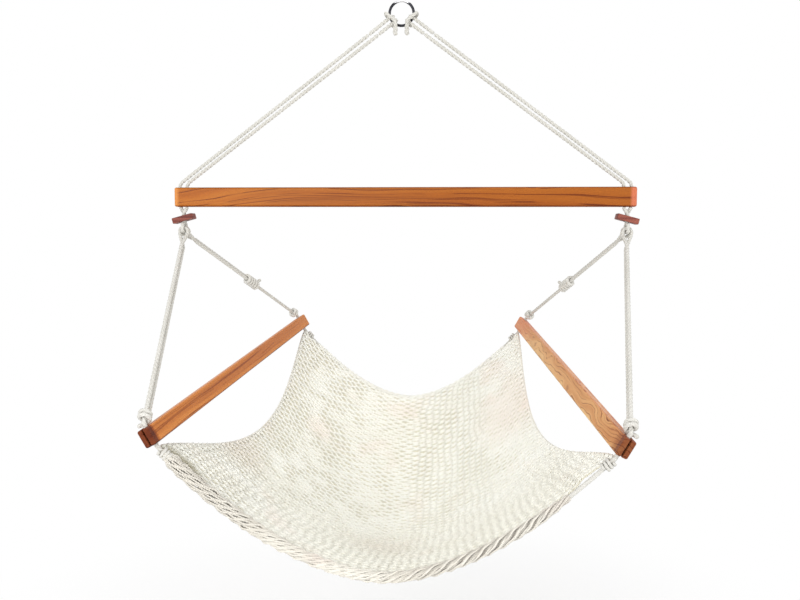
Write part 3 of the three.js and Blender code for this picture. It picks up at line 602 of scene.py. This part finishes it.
# Inner cords' sheet: painted darker than the net cords, as the shade between them. Its shade
# colour (96, 86, 60) is painted shadow in the slit at the left front.
inner_shade_finish = make_rope_finish("inner_net_cord_shade", (226, 221, 202), (218, 213, 194), (96, 86, 60),
                                1.0)
bar_wood = make_wood_finish(
    "bar_wood", ((154, 82, 18), (168, 92, 24), (180, 106, 32), (178, 146, 132), (84, 26, 30)),
    shift=(0, 0.432, 0), turn=(-math.pi / 2, 0, 0), seed=0.37, bend=0.05, streak=0.9, oval=0.75,
    slant=(-0.60, -0.22, 0.040), lines=(0.016, 0.95, 0.44), zones=bar_zones,
    knots=((0.215, 0.004, 0.010), (0.296, 0.001, 0.022), (0.397, -0.002, 0.018),
           (0.482, 0.0, 0.011)))
left_arm_wood = make_wood_finish(
    "left_arm_wood",
    ((188, 111, 52), (206, 129, 62), (216, 141, 74), (178, 146, 132), (120, 60, 30)),
    seed=2.3, bend=0.024, bands=48.0, streak=0.8, lines=(0.015, 0.55, 0.50),
    zones=left_arm_zones, **arm_placing(-1.0))
right_arm_wood = make_wood_finish(
    "right_arm_wood",
    ((198, 136, 82), (219, 167, 110), (230, 189, 132), (190, 158, 140), (140, 74, 42)),
    seed=1.3, bend=0.060, bands=52.0, streak=0.9, waves=(9.0, 22.0), lines=(0.0085, 0.95, 0.42),
    knots=((0.70, 0.004, 0.020), (0.66, -0.004, 0.016), (0.33, -0.010, 0.018)),
    zones=right_arm_zones, **arm_placing(1.0))
toggle_wood = make_wood_finish(
    "toggle_wood", ((90, 46, 42), (118, 62, 54), (152, 88, 74), (108, 68, 60)), seed=2.2,
    bend=0.01, bands=160.0, gloss=0.5)
ring_steel = make_steel_finish()


# Ring

def wire_ring():
    """A torus: a circle of the wire's radius carried round the ring's circle in the XZ plane. Its
    faces are those of a tube whose last ring is its first."""
    u = np.linspace(0, math.tau, RING_STEPS + 1)[:-1, None]
    v = np.linspace(0, math.tau, WIRE_STEPS + 1)[None, :-1]
    reach = RING_RADIUS + RING_WIRE / 2 * np.cos(v)
    points = np.stack([reach * np.sin(u), RING_WIRE / 2 * np.sin(v) + 0 * u,
                       RING_HEIGHT + reach * np.cos(u)], axis=-1).reshape(-1, 3)
    quads = swept_faces(RING_STEPS + 1, WIRE_STEPS)[0] % len(points)
    uv = np.stack(np.broadcast_arrays(u, v), axis=-1).reshape(-1, 2)
    new_piece("steel_ring", (points, quads, [], uv, np.zeros(len(points))), ring_steel, "ring",
              ("hanging_ring",))


# Hitches on the ring

def out_from_ring(side, degrees):
    a = math.radians(degrees)
    return vec(side * math.sin(a), 0, -math.cos(a))


def ring_wire_centre(side, degrees):
    return vec(0, 0, RING_HEIGHT) + RING_RADIUS * out_from_ring(side, degrees)


def bar_hole_x(side, outer):
    return side * (SIDE_X + (0.5 if outer else -0.5) * HOLE_SPACING)


def wire_turn(side, degrees, end_degrees, quarters):
    """Round the wire: zero is the front, a quarter turn is in the bore and a half is the rear.
    After the first quarter the turn moves on along the ring."""
    route = []
    quarter = TURN_STEPS / 4
    steps = int(quarters * quarter)
    for i in range(steps + 1):
        angle = math.tau * i / TURN_STEPS
        place = degrees + (end_degrees - degrees) * (max(0, i - quarter) / max(1, steps - quarter))
        out = out_from_ring(side, place)
        middle = ring_wire_centre(side, place) - out * HITCH_TURN * math.sin(angle)
        middle[1] -= HITCH_TURN * math.cos(angle)
        route.append(middle)
    return route


SWING_Y = -HITCH_TURN * CHORD_SHARE * (1 - SWING_DROP / -BAR_TOP)


def swing_point(side, outer):
    """Where a strand crosses the axis about which the hanger swings."""
    start = ring_wire_centre(side, UPPER_HITCH if outer else LOWER_HITCH)
    end = vec(bar_hole_x(side, outer), 0, BAR_TOP)
    share = (-SWING_DROP - start[2]) / (end[2] - start[2])
    return vec(start[0] + (end[0] - start[0]) * share, SWING_Y, -SWING_DROP)


def hitch_end(side, outer, turn):
    """Just before the swing point, where the strand takes over."""
    centre = swing_point(side, outer)
    return centre + unit(turn[0] - centre) * SWING_GAP


def ring_hitches(label, side):
    """A turn of the inner strand and a crossed hitch of the outer one, with a loosened tail."""
    lower = wire_turn(side, LOWER_HITCH, LOWER_HITCH, 2)
    short = lower[-1] + out_from_ring(side, LOWER_HITCH) * SHORT_TAIL
    path = softened([hitch_end(side, False, lower), *lower, short], TURN_BEND)
    laid_rope(f"ring_turn_rope_{label}", path, "hitches", (f"ring_turn_{label}",), handed=side)
    upper = wire_turn(side, UPPER_HITCH, CROSSING_LEG, 3)
    crossing = vec(side * TAIL_SIDE, -CROSSING_DEPTH, TAIL_TOP)
    before = vec(upper[-1][0], -CROSSING_DEPTH, upper[-1][2])
    path = softened([hitch_end(side, True, upper), *upper, before, crossing,
                     crossing + vec(0, 0.001, -TAIL_LENGTH)], HITCH_BEND)
    run = length_along(path)
    loosened = 1 + TAIL_LOOSENED * smoothstep(run - run[-1], -TAIL_LENGTH, -0.4 * TAIL_LENGTH)
    laid_rope(f"ring_hitch_rope_{label}", path, "hitches", (f"ring_hitch_{label}",),
              ROPE_R * loosened, handed=side)


# Upper strands

def upper_strand(label, side, outer):
    """From the swing point to above the bar, and straight down its hole."""
    hole = vec(bar_hole_x(side, outer), 0, BAR_TOP)
    end = vec(hole[0], 0, BAR_BOTTOM + ROPE_R + ROPE_GAP)
    corners = [swing_point(side, outer), hole + vec(0, 0, ARM_STAND), end]
    name = "outer" if outer else "inner"
    laid_rope(f"upper_strand_{label}_{name}", softened(corners, STRAND_BEND), "hanger",
              (f"upper_rope_{label}_{name}",), handed=side, phase=1.0 if outer else 0.0)


# Toggle loops

def toggle_loop(label, side):
    """Down through the toggle, round the loop and back up. The toggle presses the rope, to
    1 - PRESSED bell(height from the toggle) of its radius."""
    half, wide = ROPE_PITCH / 2, ROPE_PITCH * 1.5
    corners = []
    for way in (-1, 1):
        down = [vec(bar_hole_x(side, way > 0), 0, BAR_BOTTOM),
                vec(side * (SIDE_X + way * TWIST_OFFSET), way * TWIST_OFFSET, TWIST_HEIGHT)]
        down += [vec(side * SIDE_X, way * y, z) for y, z in (
            (half, SLOT_TOP), (half, LOOP_TOP), (wide, LOOP_FLARE), (wide, LOOP_BOTTOM))]
        corners += down[::-way]
    path = softened(corners, LOOP_BEND)
    pressed = 1 - PRESSED * bell(path[:, 2] - TOGGLE_HEIGHT, PRESSED_OVER)
    laid_rope(f"toggle_loop_rope_{label}", path, "sling", (f"toggle_loop_{label}",),
              ROPE_R * pressed, depth=WORN_DEPTH)


# Borders

BORDERS = {True: (arm_hole(1.0, True, -1), *FRONT_SAG),
           False: (arm_hole(1.0, False, -1), *REAR_SAG)}


def border_point(front, across):
    """From under one arm to under the other, with a sag of (1 - |across|^fullness)."""
    (x, y, z), sag, full = BORDERS[front]
    return np.stack([x * across, y + 0 * across, z - sag * (1 - np.abs(across) ** full)], axis=-1)


def side_point(side, rearward):
    """Along a free side: straight between the borders' ends, then drawn in, skewed and sagged."""
    front, rear = border_point(True, side), border_point(False, side)
    depth, full = SIDE_SAG
    sag = (4 * np.clip(rearward * (1 - rearward), 0, 1)) ** full
    shift = [-side * NET_DRAW_IN * sag, NET_SKEW * sag * (1 - rearward), -depth * sag]
    return front + (rear - front) * rearward[..., None] + np.stack(shift, axis=-1)


def net_point(across, rearward):
    """A patch between two borders and two sides: the borders' blend plus the sides' blend less
    the corners' blend."""
    across, rearward = np.broadcast_arrays(across, rearward)
    share = ((across + 1) / 2)[..., None]
    back = rearward[..., None]

    def between(place):
        return border_point(True, place) * (1 - back) + border_point(False, place) * back

    from_sides = side_point(-1.0, rearward) * (1 - share) + side_point(1.0, rearward) * share
    return between(across) + from_sides - (between(-1.0) * (1 - share) + between(1.0) * share)


def border_radius(front, side, distance):
    """A border's radius at a distance from the arm of one side."""
    full, start, end = ROLLS[front, side]
    radius = ROPE_R + (full - ROPE_R) * smoothstep(distance, start, end)
    return radius + (ROLL_MIDDLE[front] - full) * smoothstep(distance, *MIDDLE_REACH)


def border_path(front, start=0.0, step=0.003):
    path = resampled(border_point(front, np.linspace(-1, 1, 801)), step)
    run = length_along(path)
    keep = (run >= start) & (run <= run[-1] - start)
    return path[keep]


def border_roll(front):
    """A core rope along the border's curve, covered by a layer of cords where it is laced to the
    net. The cords turn round the curve together, in bundles: a cord is proud in the middle of its
    bundle, by (1 + cos(bundles * angle)) / 2, sunk at its edge, and wavers along its length. The
    layer swells between the lacings, by a sine. The deeper a cord lies in the roll, the more shade
    is painted on it. The front roll is smoother at the left, with its bundles sunk less and its
    painted shade weaker, and there a floor darkens it all over with the shade colour."""
    label = "front" if front else "rear"
    cords, bundles, lay, cord, lacing, swell = ROLL_CORDS[front]
    path = border_path(front, ROLL_START)
    run = length_along(path)
    share = run / run[-1]
    from_left, from_right = run + ROLL_START, run[-1] - run + ROLL_START
    radius = np.where(from_left < from_right, border_radius(front, -1, from_left),
                      border_radius(front, 1, from_right))
    radius = radius * (1 + swell * np.sin(math.tau * run / lacing + 1.7 * np.sin(run * 31)))
    radius = np.maximum(radius, ROPE_R)
    core = laid_surface(path[run > CORE_START][:-3], ROPE_R, around=6, depth=CORE_DEPTH)
    new_piece(f"{label}_border_core", core, rope_finish, "sling", (f"{label}_border_rope",))
    # At the left of the front roll the groove_shade attribute never falls below a floor, which
    # darkens that part all over with the shade colour.
    contrast, darkening_floor, rate = (np.full(len(run), value) for value in (0.45, 0.0, 1.0))
    if front:
        contrast = 0.22 + 0.78 * smoothstep(share, 0.35, 0.70)
        darkening_floor = 0.30 * (1 - smoothstep(share, 0.15, 0.45))
        rate = 0.45 + 0.55 * smoothstep(run, 0.06, 0.30)
    turned = -math.tau * np.cumsum(rate) * (run[1] - run[0]) / lay
    normal, side = path_frames(path)
    inside = radius > ROPE_R + COVERED
    around = 3
    parts = []
    for c in range(cords):
        bearing = math.tau * c / cords
        proud = 0.5 + 0.5 * math.cos(bundles * bearing + 0.6)
        waver = 0.06 * np.sin(run * 95 + c * 2.4) + 0.05 * np.sin(run * 230 + c * 1.3)
        sunk = (0.06 + 0.30 * contrast) * (1 - proud)
        arm = np.maximum((radius - cord) * (1 - sunk + waver), 0.001)
        phi = turned + bearing + 0.10 * np.sin(run * 140 + c * 1.9)
        line = round_line(path, normal, side, arm, phi)[inside]
        part = laid_surface(line, cord, ROLL_CORD_LAY, around, phase=c)
        middle, full, shows, least_darkening = (np.repeat(values[inside], STRANDS * around, axis=0)
                                      for values in (path, radius, contrast, darkening_floor))
        # Painted shade: the deeper a point lies in the roll, the more shade is painted on it.
        deep = np.clip(1 - np.linalg.norm(part[0] - middle, axis=1) / full, 0, 1)
        groove_shade = np.clip(0.25 * part[4] + 2.6 * (deep - 0.10), 0, 1) * shows
        parts.append((*part[:4], np.maximum(groove_shade, least_darkening)))
    new_piece(f"{label}_border_roll", joined(parts), roll_finish if front else net_finish,
              "sling", (f"{label}_border_rope",))


# Legs

def coil_route(centre, axis, outward, turns, handed):
    """Turns about a line: TURN_RADIUS (cos a, sin a) square to the axis, climbing COIL_PITCH a
    turn."""
    across = unit(np.cross(axis, outward))
    a = math.tau * np.arange(int(round(turns * TURN_STEPS)) + 1) / TURN_STEPS
    climb = centre + axis * (COIL_PITCH * a / math.tau)[:, None]
    return round_line(climb, outward, handed * across, TURN_RADIUS, a)


def bight(side, y):
    """Half a turn over the loop's lowest rope, with a short fall at both ends."""
    a = np.linspace(0, math.pi, TURN_STEPS // 2 + 1)
    arc = np.stack([side * SIDE_X - side * TURN_RADIUS * np.cos(a), np.full_like(a, y),
                    LOOP_BOTTOM + TURN_RADIUS * np.sin(a)], axis=1)
    fall = vec(0, 0, SHORT_FALL)
    return [arc[0] - fall, *arc, arc[-1] - fall]


def leg(name, side, front, distance, turns):
    """From under the arm up over the loop, back down behind itself and hitched round itself."""
    top = arm_hole(side, front, 1)
    corner = border_path(front)
    corner = corner[length_along(corner) <= CORNER_ROPE] * vec(-side, 1, 1)
    loop_y = (-0.5 if front else 0.5) * ROPE_PITCH
    over = bight(side, loop_y)
    foot = vec(side * SIDE_X, loop_y, over[0][2])
    stand = unit(foot - top)
    outward = square_to(stand, vec(0, 1, 0))
    hitch_top = top + stand * (distance + turns * ROPE_PITCH)
    coil = coil_route(hitch_top, -stand, outward, turns, side if front else -side)
    tail = coil[-1] + unit(coil[-1] - coil[-2]) * LEG_TAIL
    gather = foot - stand * LEG_GATHER
    beside = hitch_top + stand * 2 * ROPE_PITCH + outward * TURN_RADIUS
    corners = [*corner[::-1], top, gather, *over, gather + outward * TURN_RADIUS, beside,
               coil[0] + stand * SHORT_FALL, *coil[1:], tail]
    laid_rope(f"{name}_rope", softened(corners, LEG_BEND), "sling", (name,), handed=side,
              depth=WORN_DEPTH)
    return top, stand, outward


def stopper(label, side, top, stand, outward):
    """A short knot of one and a half turns on the leg, just above the arm."""
    route = coil_route(top + stand * STOPPER, stand, outward, 1.5, side)
    laid_rope(f"stopper_knot_{label}", softened(route, STOPPER_BEND), "sling",
              (f"rear_stopper_{label}",), handed=side, depth=WORN_DEPTH)


def lashing(name, side, front):
    """A cord wound over the joint of the leg rope and the border rope: a coil about the curve."""
    path = border_path(front, 0.0, 0.0005)
    run = length_along(path)
    pitch = LASHING_CORD + 1.3 * ROPE_GAP
    a = np.linspace(0, math.tau * LASHING_TURNS, LASHING_TURNS * TURN_STEPS + 1)
    places = CORNER_ROPE - LASHING_TURNS / 2 * pitch + pitch * a / math.tau
    centre = placed_along(places, run, path)
    axis = unit(placed_along(places, run, unit(np.gradient(path, axis=0))))
    outward = unit(vec(0, -1, 0) - axis * (axis @ vec(0, -1, 0))[:, None])
    reach = ROPE_R + ROPE_GAP + LASHING_CORD / 2
    route = round_line(centre, outward, np.cross(axis, outward), reach, a) * vec(-side, 1, 1)
    laid_rope(f"{name}_cord", softened(route, LASHING_BEND), "sling", (name,),
              LASHING_CORD / 2, lay=LASHING_LAY, handed=side, depth=0.5)


# Net

def net_slit(front, side, distance):
    """How far the net hangs from its border near a corner: height * bell(distance - place)."""
    height, place, width = FRONT_SLITS[side] if front else REAR_SLIT
    return height * bell(distance - place, width)


def row_limits(across):
    """Where the first and the last row lie, as shares of the way between the borders."""
    limits = []
    for front, border, step in ((True, 0.0, 0.002), (False, 1.0, -0.002)):
        place = net_point(across, np.full_like(across, border))
        nearby = net_point(across, np.full_like(across, border + step))
        speed = np.linalg.norm(nearby - place, axis=-1)
        insets = []
        for side in (-1, 1):
            away = np.linalg.norm(place * vec(side, 1, 1) - border_point(front, 1.0), axis=-1)
            insets.append(border_radius(front, side, away) + net_slit(front, side, away))
        inset = np.where(across < 0, *insets)
        limits.append(border + (inset - ROW_OVERLAP) / speed * step)
    return limits


def blurred(rows, columns):
    """Random values over the net, blurred with blur_weights over a few rows and columns, with a
    standard deviation of one."""
    loose = rng.normal(0, 1, (NET_ROWS, NET_COLUMNS))
    for axis, spread in ((0, rows), (1, columns)):
        reach = int(3 * spread)
        weights = blur_weights(np.arange(-reach, reach + 1), spread)
        loose = np.apply_along_axis(np.convolve, axis, loose, weights, mode="same")
    return loose / loose.std()


def at_left(across):
    """1 over the left part of the net, where its gaps are long and dark, and 0 further in."""
    return smoothstep(across, -0.30, -0.65)


def net_openness(across):
    """How far the knots have let the cords part, from 0 to 1.3: more uneven at the left than over
    the middle, even along the left side and calm towards the right."""
    left = at_left(across)
    fine = (0.32 + 0.20 * left) * blurred(1.2, 4.0)
    coarse = (0.12 + 0.16 * left) * blurred(5.0, 9.0)
    edge = smoothstep(across, -0.80, -0.95)
    loose = (0.52 + fine + coarse) * (1 - edge) + 0.95 * edge
    return np.clip(loose, 0.0, 1.3) * (1 - 0.35 * smoothstep(across, 0.35, 0.9))


def net_rows():
    """The seat net's cords run from side to side, and each swings towards one neighbour and then
    the other, above one and below the next, so that they cross in columns. A cord's place is the
    patch at its row, plus a wave towards its neighbours, plus the same wave along the normal. The
    wave is cos(2 pi run / NET_WAVE), and its phase drifts from row to row and jitters from knot to
    knot, less where the net is ridged. Columns and seams are the amounts of shade painted in the
    gaps between crossings and between cords."""
    across = np.linspace(-1, 1, NET_COLUMNS)
    front_limit, rear_limit = row_limits(across)
    rows = np.arange(NET_ROWS)[:, None]
    share = (rows + 0.5) / NET_ROWS
    grid = net_point(across, front_limit + (rear_limit - front_limit) * share)
    spacing = np.gradient(grid, axis=0)
    down = unit(spacing)
    normal = unit(np.cross(unit(np.gradient(grid, axis=1)), down))
    size = np.clip(np.linalg.norm(spacing, axis=-1) / NET_PITCH, *NET_SIZES)
    steps = np.linalg.norm(np.diff(grid, axis=1), axis=-1)
    run = np.concatenate([np.zeros((NET_ROWS, 1)), np.cumsum(steps, axis=1)], axis=1)
    middle = run - run[:, NET_COLUMNS // 2][:, None]
    drift = (np.cumsum(rng.normal(0, ROW_DRIFT, (NET_ROWS, 1)), axis=0)
             + rng.normal(0, ROW_OFFSET, (NET_ROWS, 1)))
    parity = np.where(rows % 2 == 0, 1.0, -1.0)
    ridged = np.maximum(smoothstep(share, 0.45, 0.15),
                        smoothstep(across, -0.05, 0.15) * smoothstep(across, 0.75, 0.60))
    jitter = KNOT_JITTER * (1 - 0.55 * ridged) * blurred(1.2, 7.0)
    wave = parity * np.cos(math.tau * middle / NET_WAVE + drift + jitter)
    openness = net_openness(across)
    left = at_left(across)
    sway = (NET_SWAY + NET_SWAY_LEFT * left) * size * openness
    lift = NET_LIFT + NET_LIFT_OPEN * np.clip(openness, 0, 1)
    place = grid + down * (wave * sway)[..., None] + normal * (wave * lift * size)[..., None]
    # Columns and seams: how much shade is painted in the gaps between crossings and between cords.
    columns = (1 - np.abs(wave)) ** 1.2 * (0.10 + 0.90 * ridged)
    seams = 0.20 - 0.02 * left + (0.62 + 0.60 * left) * np.clip(openness, 0, 1.1)
    return grid, place, normal, size, run, columns, seams * (1 - 0.45 * ridged)


def from_corner(places):
    """Distances from the front border's left end."""
    return np.linalg.norm(places - border_point(True, -1.0), axis=-1)


def net_pieces():
    """Round cords through the rows' points, a selvedge down each free side and the inner cords'
    sheet that closes the net between them. The cords carry painted shade in their grooves, seams
    and columns, and painted shadow beside the front roll at the left."""
    grid, place, normal, size, run, columns, seams = net_rows()
    angle, outline = laid_outline(4)
    side = np.cross(unit(np.gradient(place, axis=1)), normal)
    reach = (NET_CORD / 2 * size)[..., None] * outline
    theta = angle + (math.tau * run / NET_LAY + rng.uniform(0, 6.3, (NET_ROWS, 1)))[..., None]
    points = round_line(place[:, :, None, :], side[:, :, None, :], normal[:, :, None, :], reach,
                        theta)
    quads, ends = swept_faces(NET_COLUMNS, len(angle))
    flank = (1 - np.abs(np.sin(theta))) ** SEAM_SHARPNESS
    slit = (bell(np.arange(NET_ROWS)[:, None], SLIT_ROWS)
            * bell(from_corner(grid) - SLIT_PLACE, SLIT_WIDTH))
    # Painted shade in the cords' grooves, along the seams and in the columns, and painted shadow
    # in the slit at the left front.
    hollow_shade = (CORD_SHADE * (1 - outline) / DEEPEST_GROOVE + flank * seams[..., None]
              + COLUMN_SHADE * columns[..., None])
    hollow_shade = np.clip(hollow_shade + SLIT_SHADOW * slit[..., None], 0, 1).reshape(NET_ROWS, -1)
    for first in range(0, NET_ROWS, ROWS_IN_PIECE):
        parts = [(points[r].reshape(-1, 3), quads, ends, rope_uv(angle, run[r]), hollow_shade[r])
                 for r in range(first, first + ROWS_IN_PIECE)]
        new_piece(f"net_rows_{first // ROWS_IN_PIECE + 1}", joined(parts), net_finish, "sling",
                  ("seat_net",))
    for label, column in (("left", 0), ("right", -1)):
        path = softened(grid[:, column], SELVEDGE_BEND, SELVEDGE_STEP)
        laid = laid_surface(path, SELVEDGE_R, SELVEDGE_LAY, around=5)
        new_piece(f"net_selvedge_{label}", laid, net_finish, "sling", ("seat_net",))
    net_filling(grid, normal)


def net_filling(grid, normal):
    """The inner cords' sheet: the net's own patch at every third row and fifth column, carried on
    by most of a row into both borders, with a thickness and a closed rim. It stands for the net's
    inner cords and is painted darker than the outer cords, as the shade between them. In the slit
    beside the front roll at the left it is painted dark, as shadow."""
    rows, columns = slice(None, None, 3), slice(2, -2, 5)
    middle, up = grid[rows, columns], normal[rows, columns]
    lead = (grid[0] + FILLING_REACH * (grid[0] - grid[1]))[columns][None]
    trail = (grid[-1] + FILLING_REACH * (grid[-1] - grid[-2]))[columns][None]
    middle, up = np.concatenate([lead, middle, trail]), np.concatenate([up[:1], up, up[-1:]])
    rows, columns = middle.shape[:2]
    points = np.concatenate([(middle + up * FILLING_HALF).reshape(-1, 3),
                             (middle - up * FILLING_HALF).reshape(-1, 3)])
    i, k = np.meshgrid(np.arange(rows - 1), np.arange(columns - 1), indexing="ij")
    a = (i * columns + k).reshape(-1)
    layer = rows * columns
    top = np.stack([a, a + 1, a + 1 + columns, a + columns], axis=-1)
    rim = np.concatenate([np.arange(columns - 1), np.arange(rows - 1) * columns + columns - 1,
                          (rows - 1) * columns + np.arange(columns - 1, 0, -1),
                          np.arange(rows - 1, 0, -1) * columns])
    after = np.roll(rim, -1)
    edge = np.stack([rim, rim + layer, after + layer, after], axis=-1)
    quads = np.concatenate([top, top[:, ::-1] + layer, edge])
    uv = np.stack([points[:, 0] * 8, points[:, 1]], axis=-1)
    # Painted shadow in the slit beside the front roll at the left.
    dark = np.zeros((rows, columns))
    dark[0] = bell(from_corner(middle[0]) - 0.06, 0.05)
    new_piece("net_inner_cords_shade", (points, quads, [], uv, np.tile(dark.reshape(-1), 2)),
              inner_shade_finish, "sling", ("seat_net",))


# Build everything

wire_ring()
for label, side in (("left", -1.0), ("right", 1.0)):
    ring_hitches(label, side)
    upper_strand(label, side, False)
    upper_strand(label, side, True)
    toggle_loop(label, side)
    leg(f"front_leg_rope_{label}", side, True, *FRONT_HITCH)
    stopper(label, side, *leg(f"rear_leg_rope_{label}", side, False, *REAR_HITCH))
    lashing(f"front_lashing_{label}", side, True)
    lashing(f"rear_lashing_{label}", side, False)
border_roll(True)
border_roll(False)
net_pieces()

for node, finish in (("spreader_bar", bar_wood), ("arm_left", left_arm_wood),
                     ("arm_right", right_arm_wood), ("toggle_left", toggle_wood),
                     ("toggle_right", toggle_wood)):
    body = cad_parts[node]
    body.data.materials.clear()
    body.data.materials.append(finish)


# Floor, light and camera

WHITE = (1, 1, 1, 1)
FLOOR_HEIGHT, FLOOR_HALF = -1.62, 30
FLOOR_TONE = (0.86, 0.86, 0.86, 1)
SHADOW_GLOW = 0.12
SHADOW_MIDDLE, SHADOW_REACH = (0, -0.2, FLOOR_HEIGHT), (0.4, 1.5)
WORLD_STRENGTH = 0.76
LAMPS = (("key", (-1.1, -3.0, 0.3), 1.8, 51.0), ("fill", (2.4, -2.4, 0.0), 2.0, 34.0),
         ("top", (0.2, 0.6, 1.8), 2.0, 6.0))
LIT_POINT = Vector((0, 0, -0.8))
CAMERA_PLACE = (0.1223, -1.7417, -0.5276)
CAMERA_TURN = (0.0711, -0.0799, 0.003)
FOCAL_PIXELS, WIDTH_PIXELS, SENSOR = 760.0, 800.0, 36.0


def plain_floor():
    """A pale floor. The camera sees it lit and shadowed near the chair, with a little glow, and
    plain white further out."""
    n = Nodes(bpy.data.materials.new("pale_floor"))
    n.finish(base_color=FLOOR_TONE, roughness=0.9)
    mesh = bpy.data.meshes.new("pale_floor")
    corners = ((-1, -1), (1, -1), (1, 1), (-1, 1))
    mesh.from_pydata([(x * FLOOR_HALF, y * FLOOR_HALF, FLOOR_HEIGHT) for x, y in corners], [],
                     [(0, 1, 2, 3)])
    mesh.materials.append(n.owner)
    floor = linked_object("pale_floor", mesh)
    lit = n.add("BsdfDiffuse", {"Color": FLOOR_TONE})
    glow = n.add("Emission", {"Color": WHITE, "Strength": SHADOW_GLOW})
    near = n.add("AddShader", {0: lit.outputs[0], 1: glow.outputs[0]})
    white = n.add("Emission", {"Color": WHITE, "Strength": 1.0})
    away = n.distance(n.where(), SHADOW_MIDDLE)
    shown = n.add("MixShader", {0: n.rise(away, *SHADOW_REACH), 1: near.outputs[0],
                                2: white.outputs[0]})
    n.show("Material Output", n.shader.outputs[0], shown.outputs[0])


def soft_light():
    """A white surround that lights less than it shows, and round lamps of a size and a power."""
    n = Nodes(bpy.data.worlds.new("studio"), "Background")
    bpy.context.scene.world = n.finish(color=WHITE, strength=WORLD_STRENGTH)
    white = n.add("Background", {"Color": WHITE, "Strength": 1.0})
    n.show("World Output", n.shader.outputs[0], white.outputs[0])
    for name, place, size, power in LAMPS:
        lamp = bpy.data.lights.new(name, "AREA")
        lamp.shape, lamp.size, lamp.energy = "DISK", size, power
        holder = linked_object(name, lamp)
        holder.location = place
        aim = LIT_POINT - Vector(place)
        holder.rotation_euler = aim.to_track_quat("-Z", "Y").to_euler()


def camera():
    """At the photograph's angle: looking rearward, turned a little to the left and down."""
    yaw, pitch, roll = CAMERA_TURN
    turn = (Matrix.Rotation(yaw, 4, "Z") @ Matrix.Rotation(math.pi / 2 + pitch, 4, "X")
            @ Matrix.Rotation(roll, 4, "Z"))
    data = bpy.data.cameras.new("camera")
    data.sensor_width, data.lens = SENSOR, FOCAL_PIXELS * SENSOR / WIDTH_PIXELS
    holder = linked_object("camera", data)
    holder.matrix_world = Matrix.Translation(CAMERA_PLACE) @ turn
    bpy.context.scene.camera = holder


plain_floor()
soft_light()
camera()
bpy.context.scene.view_settings.view_transform = "Standard"
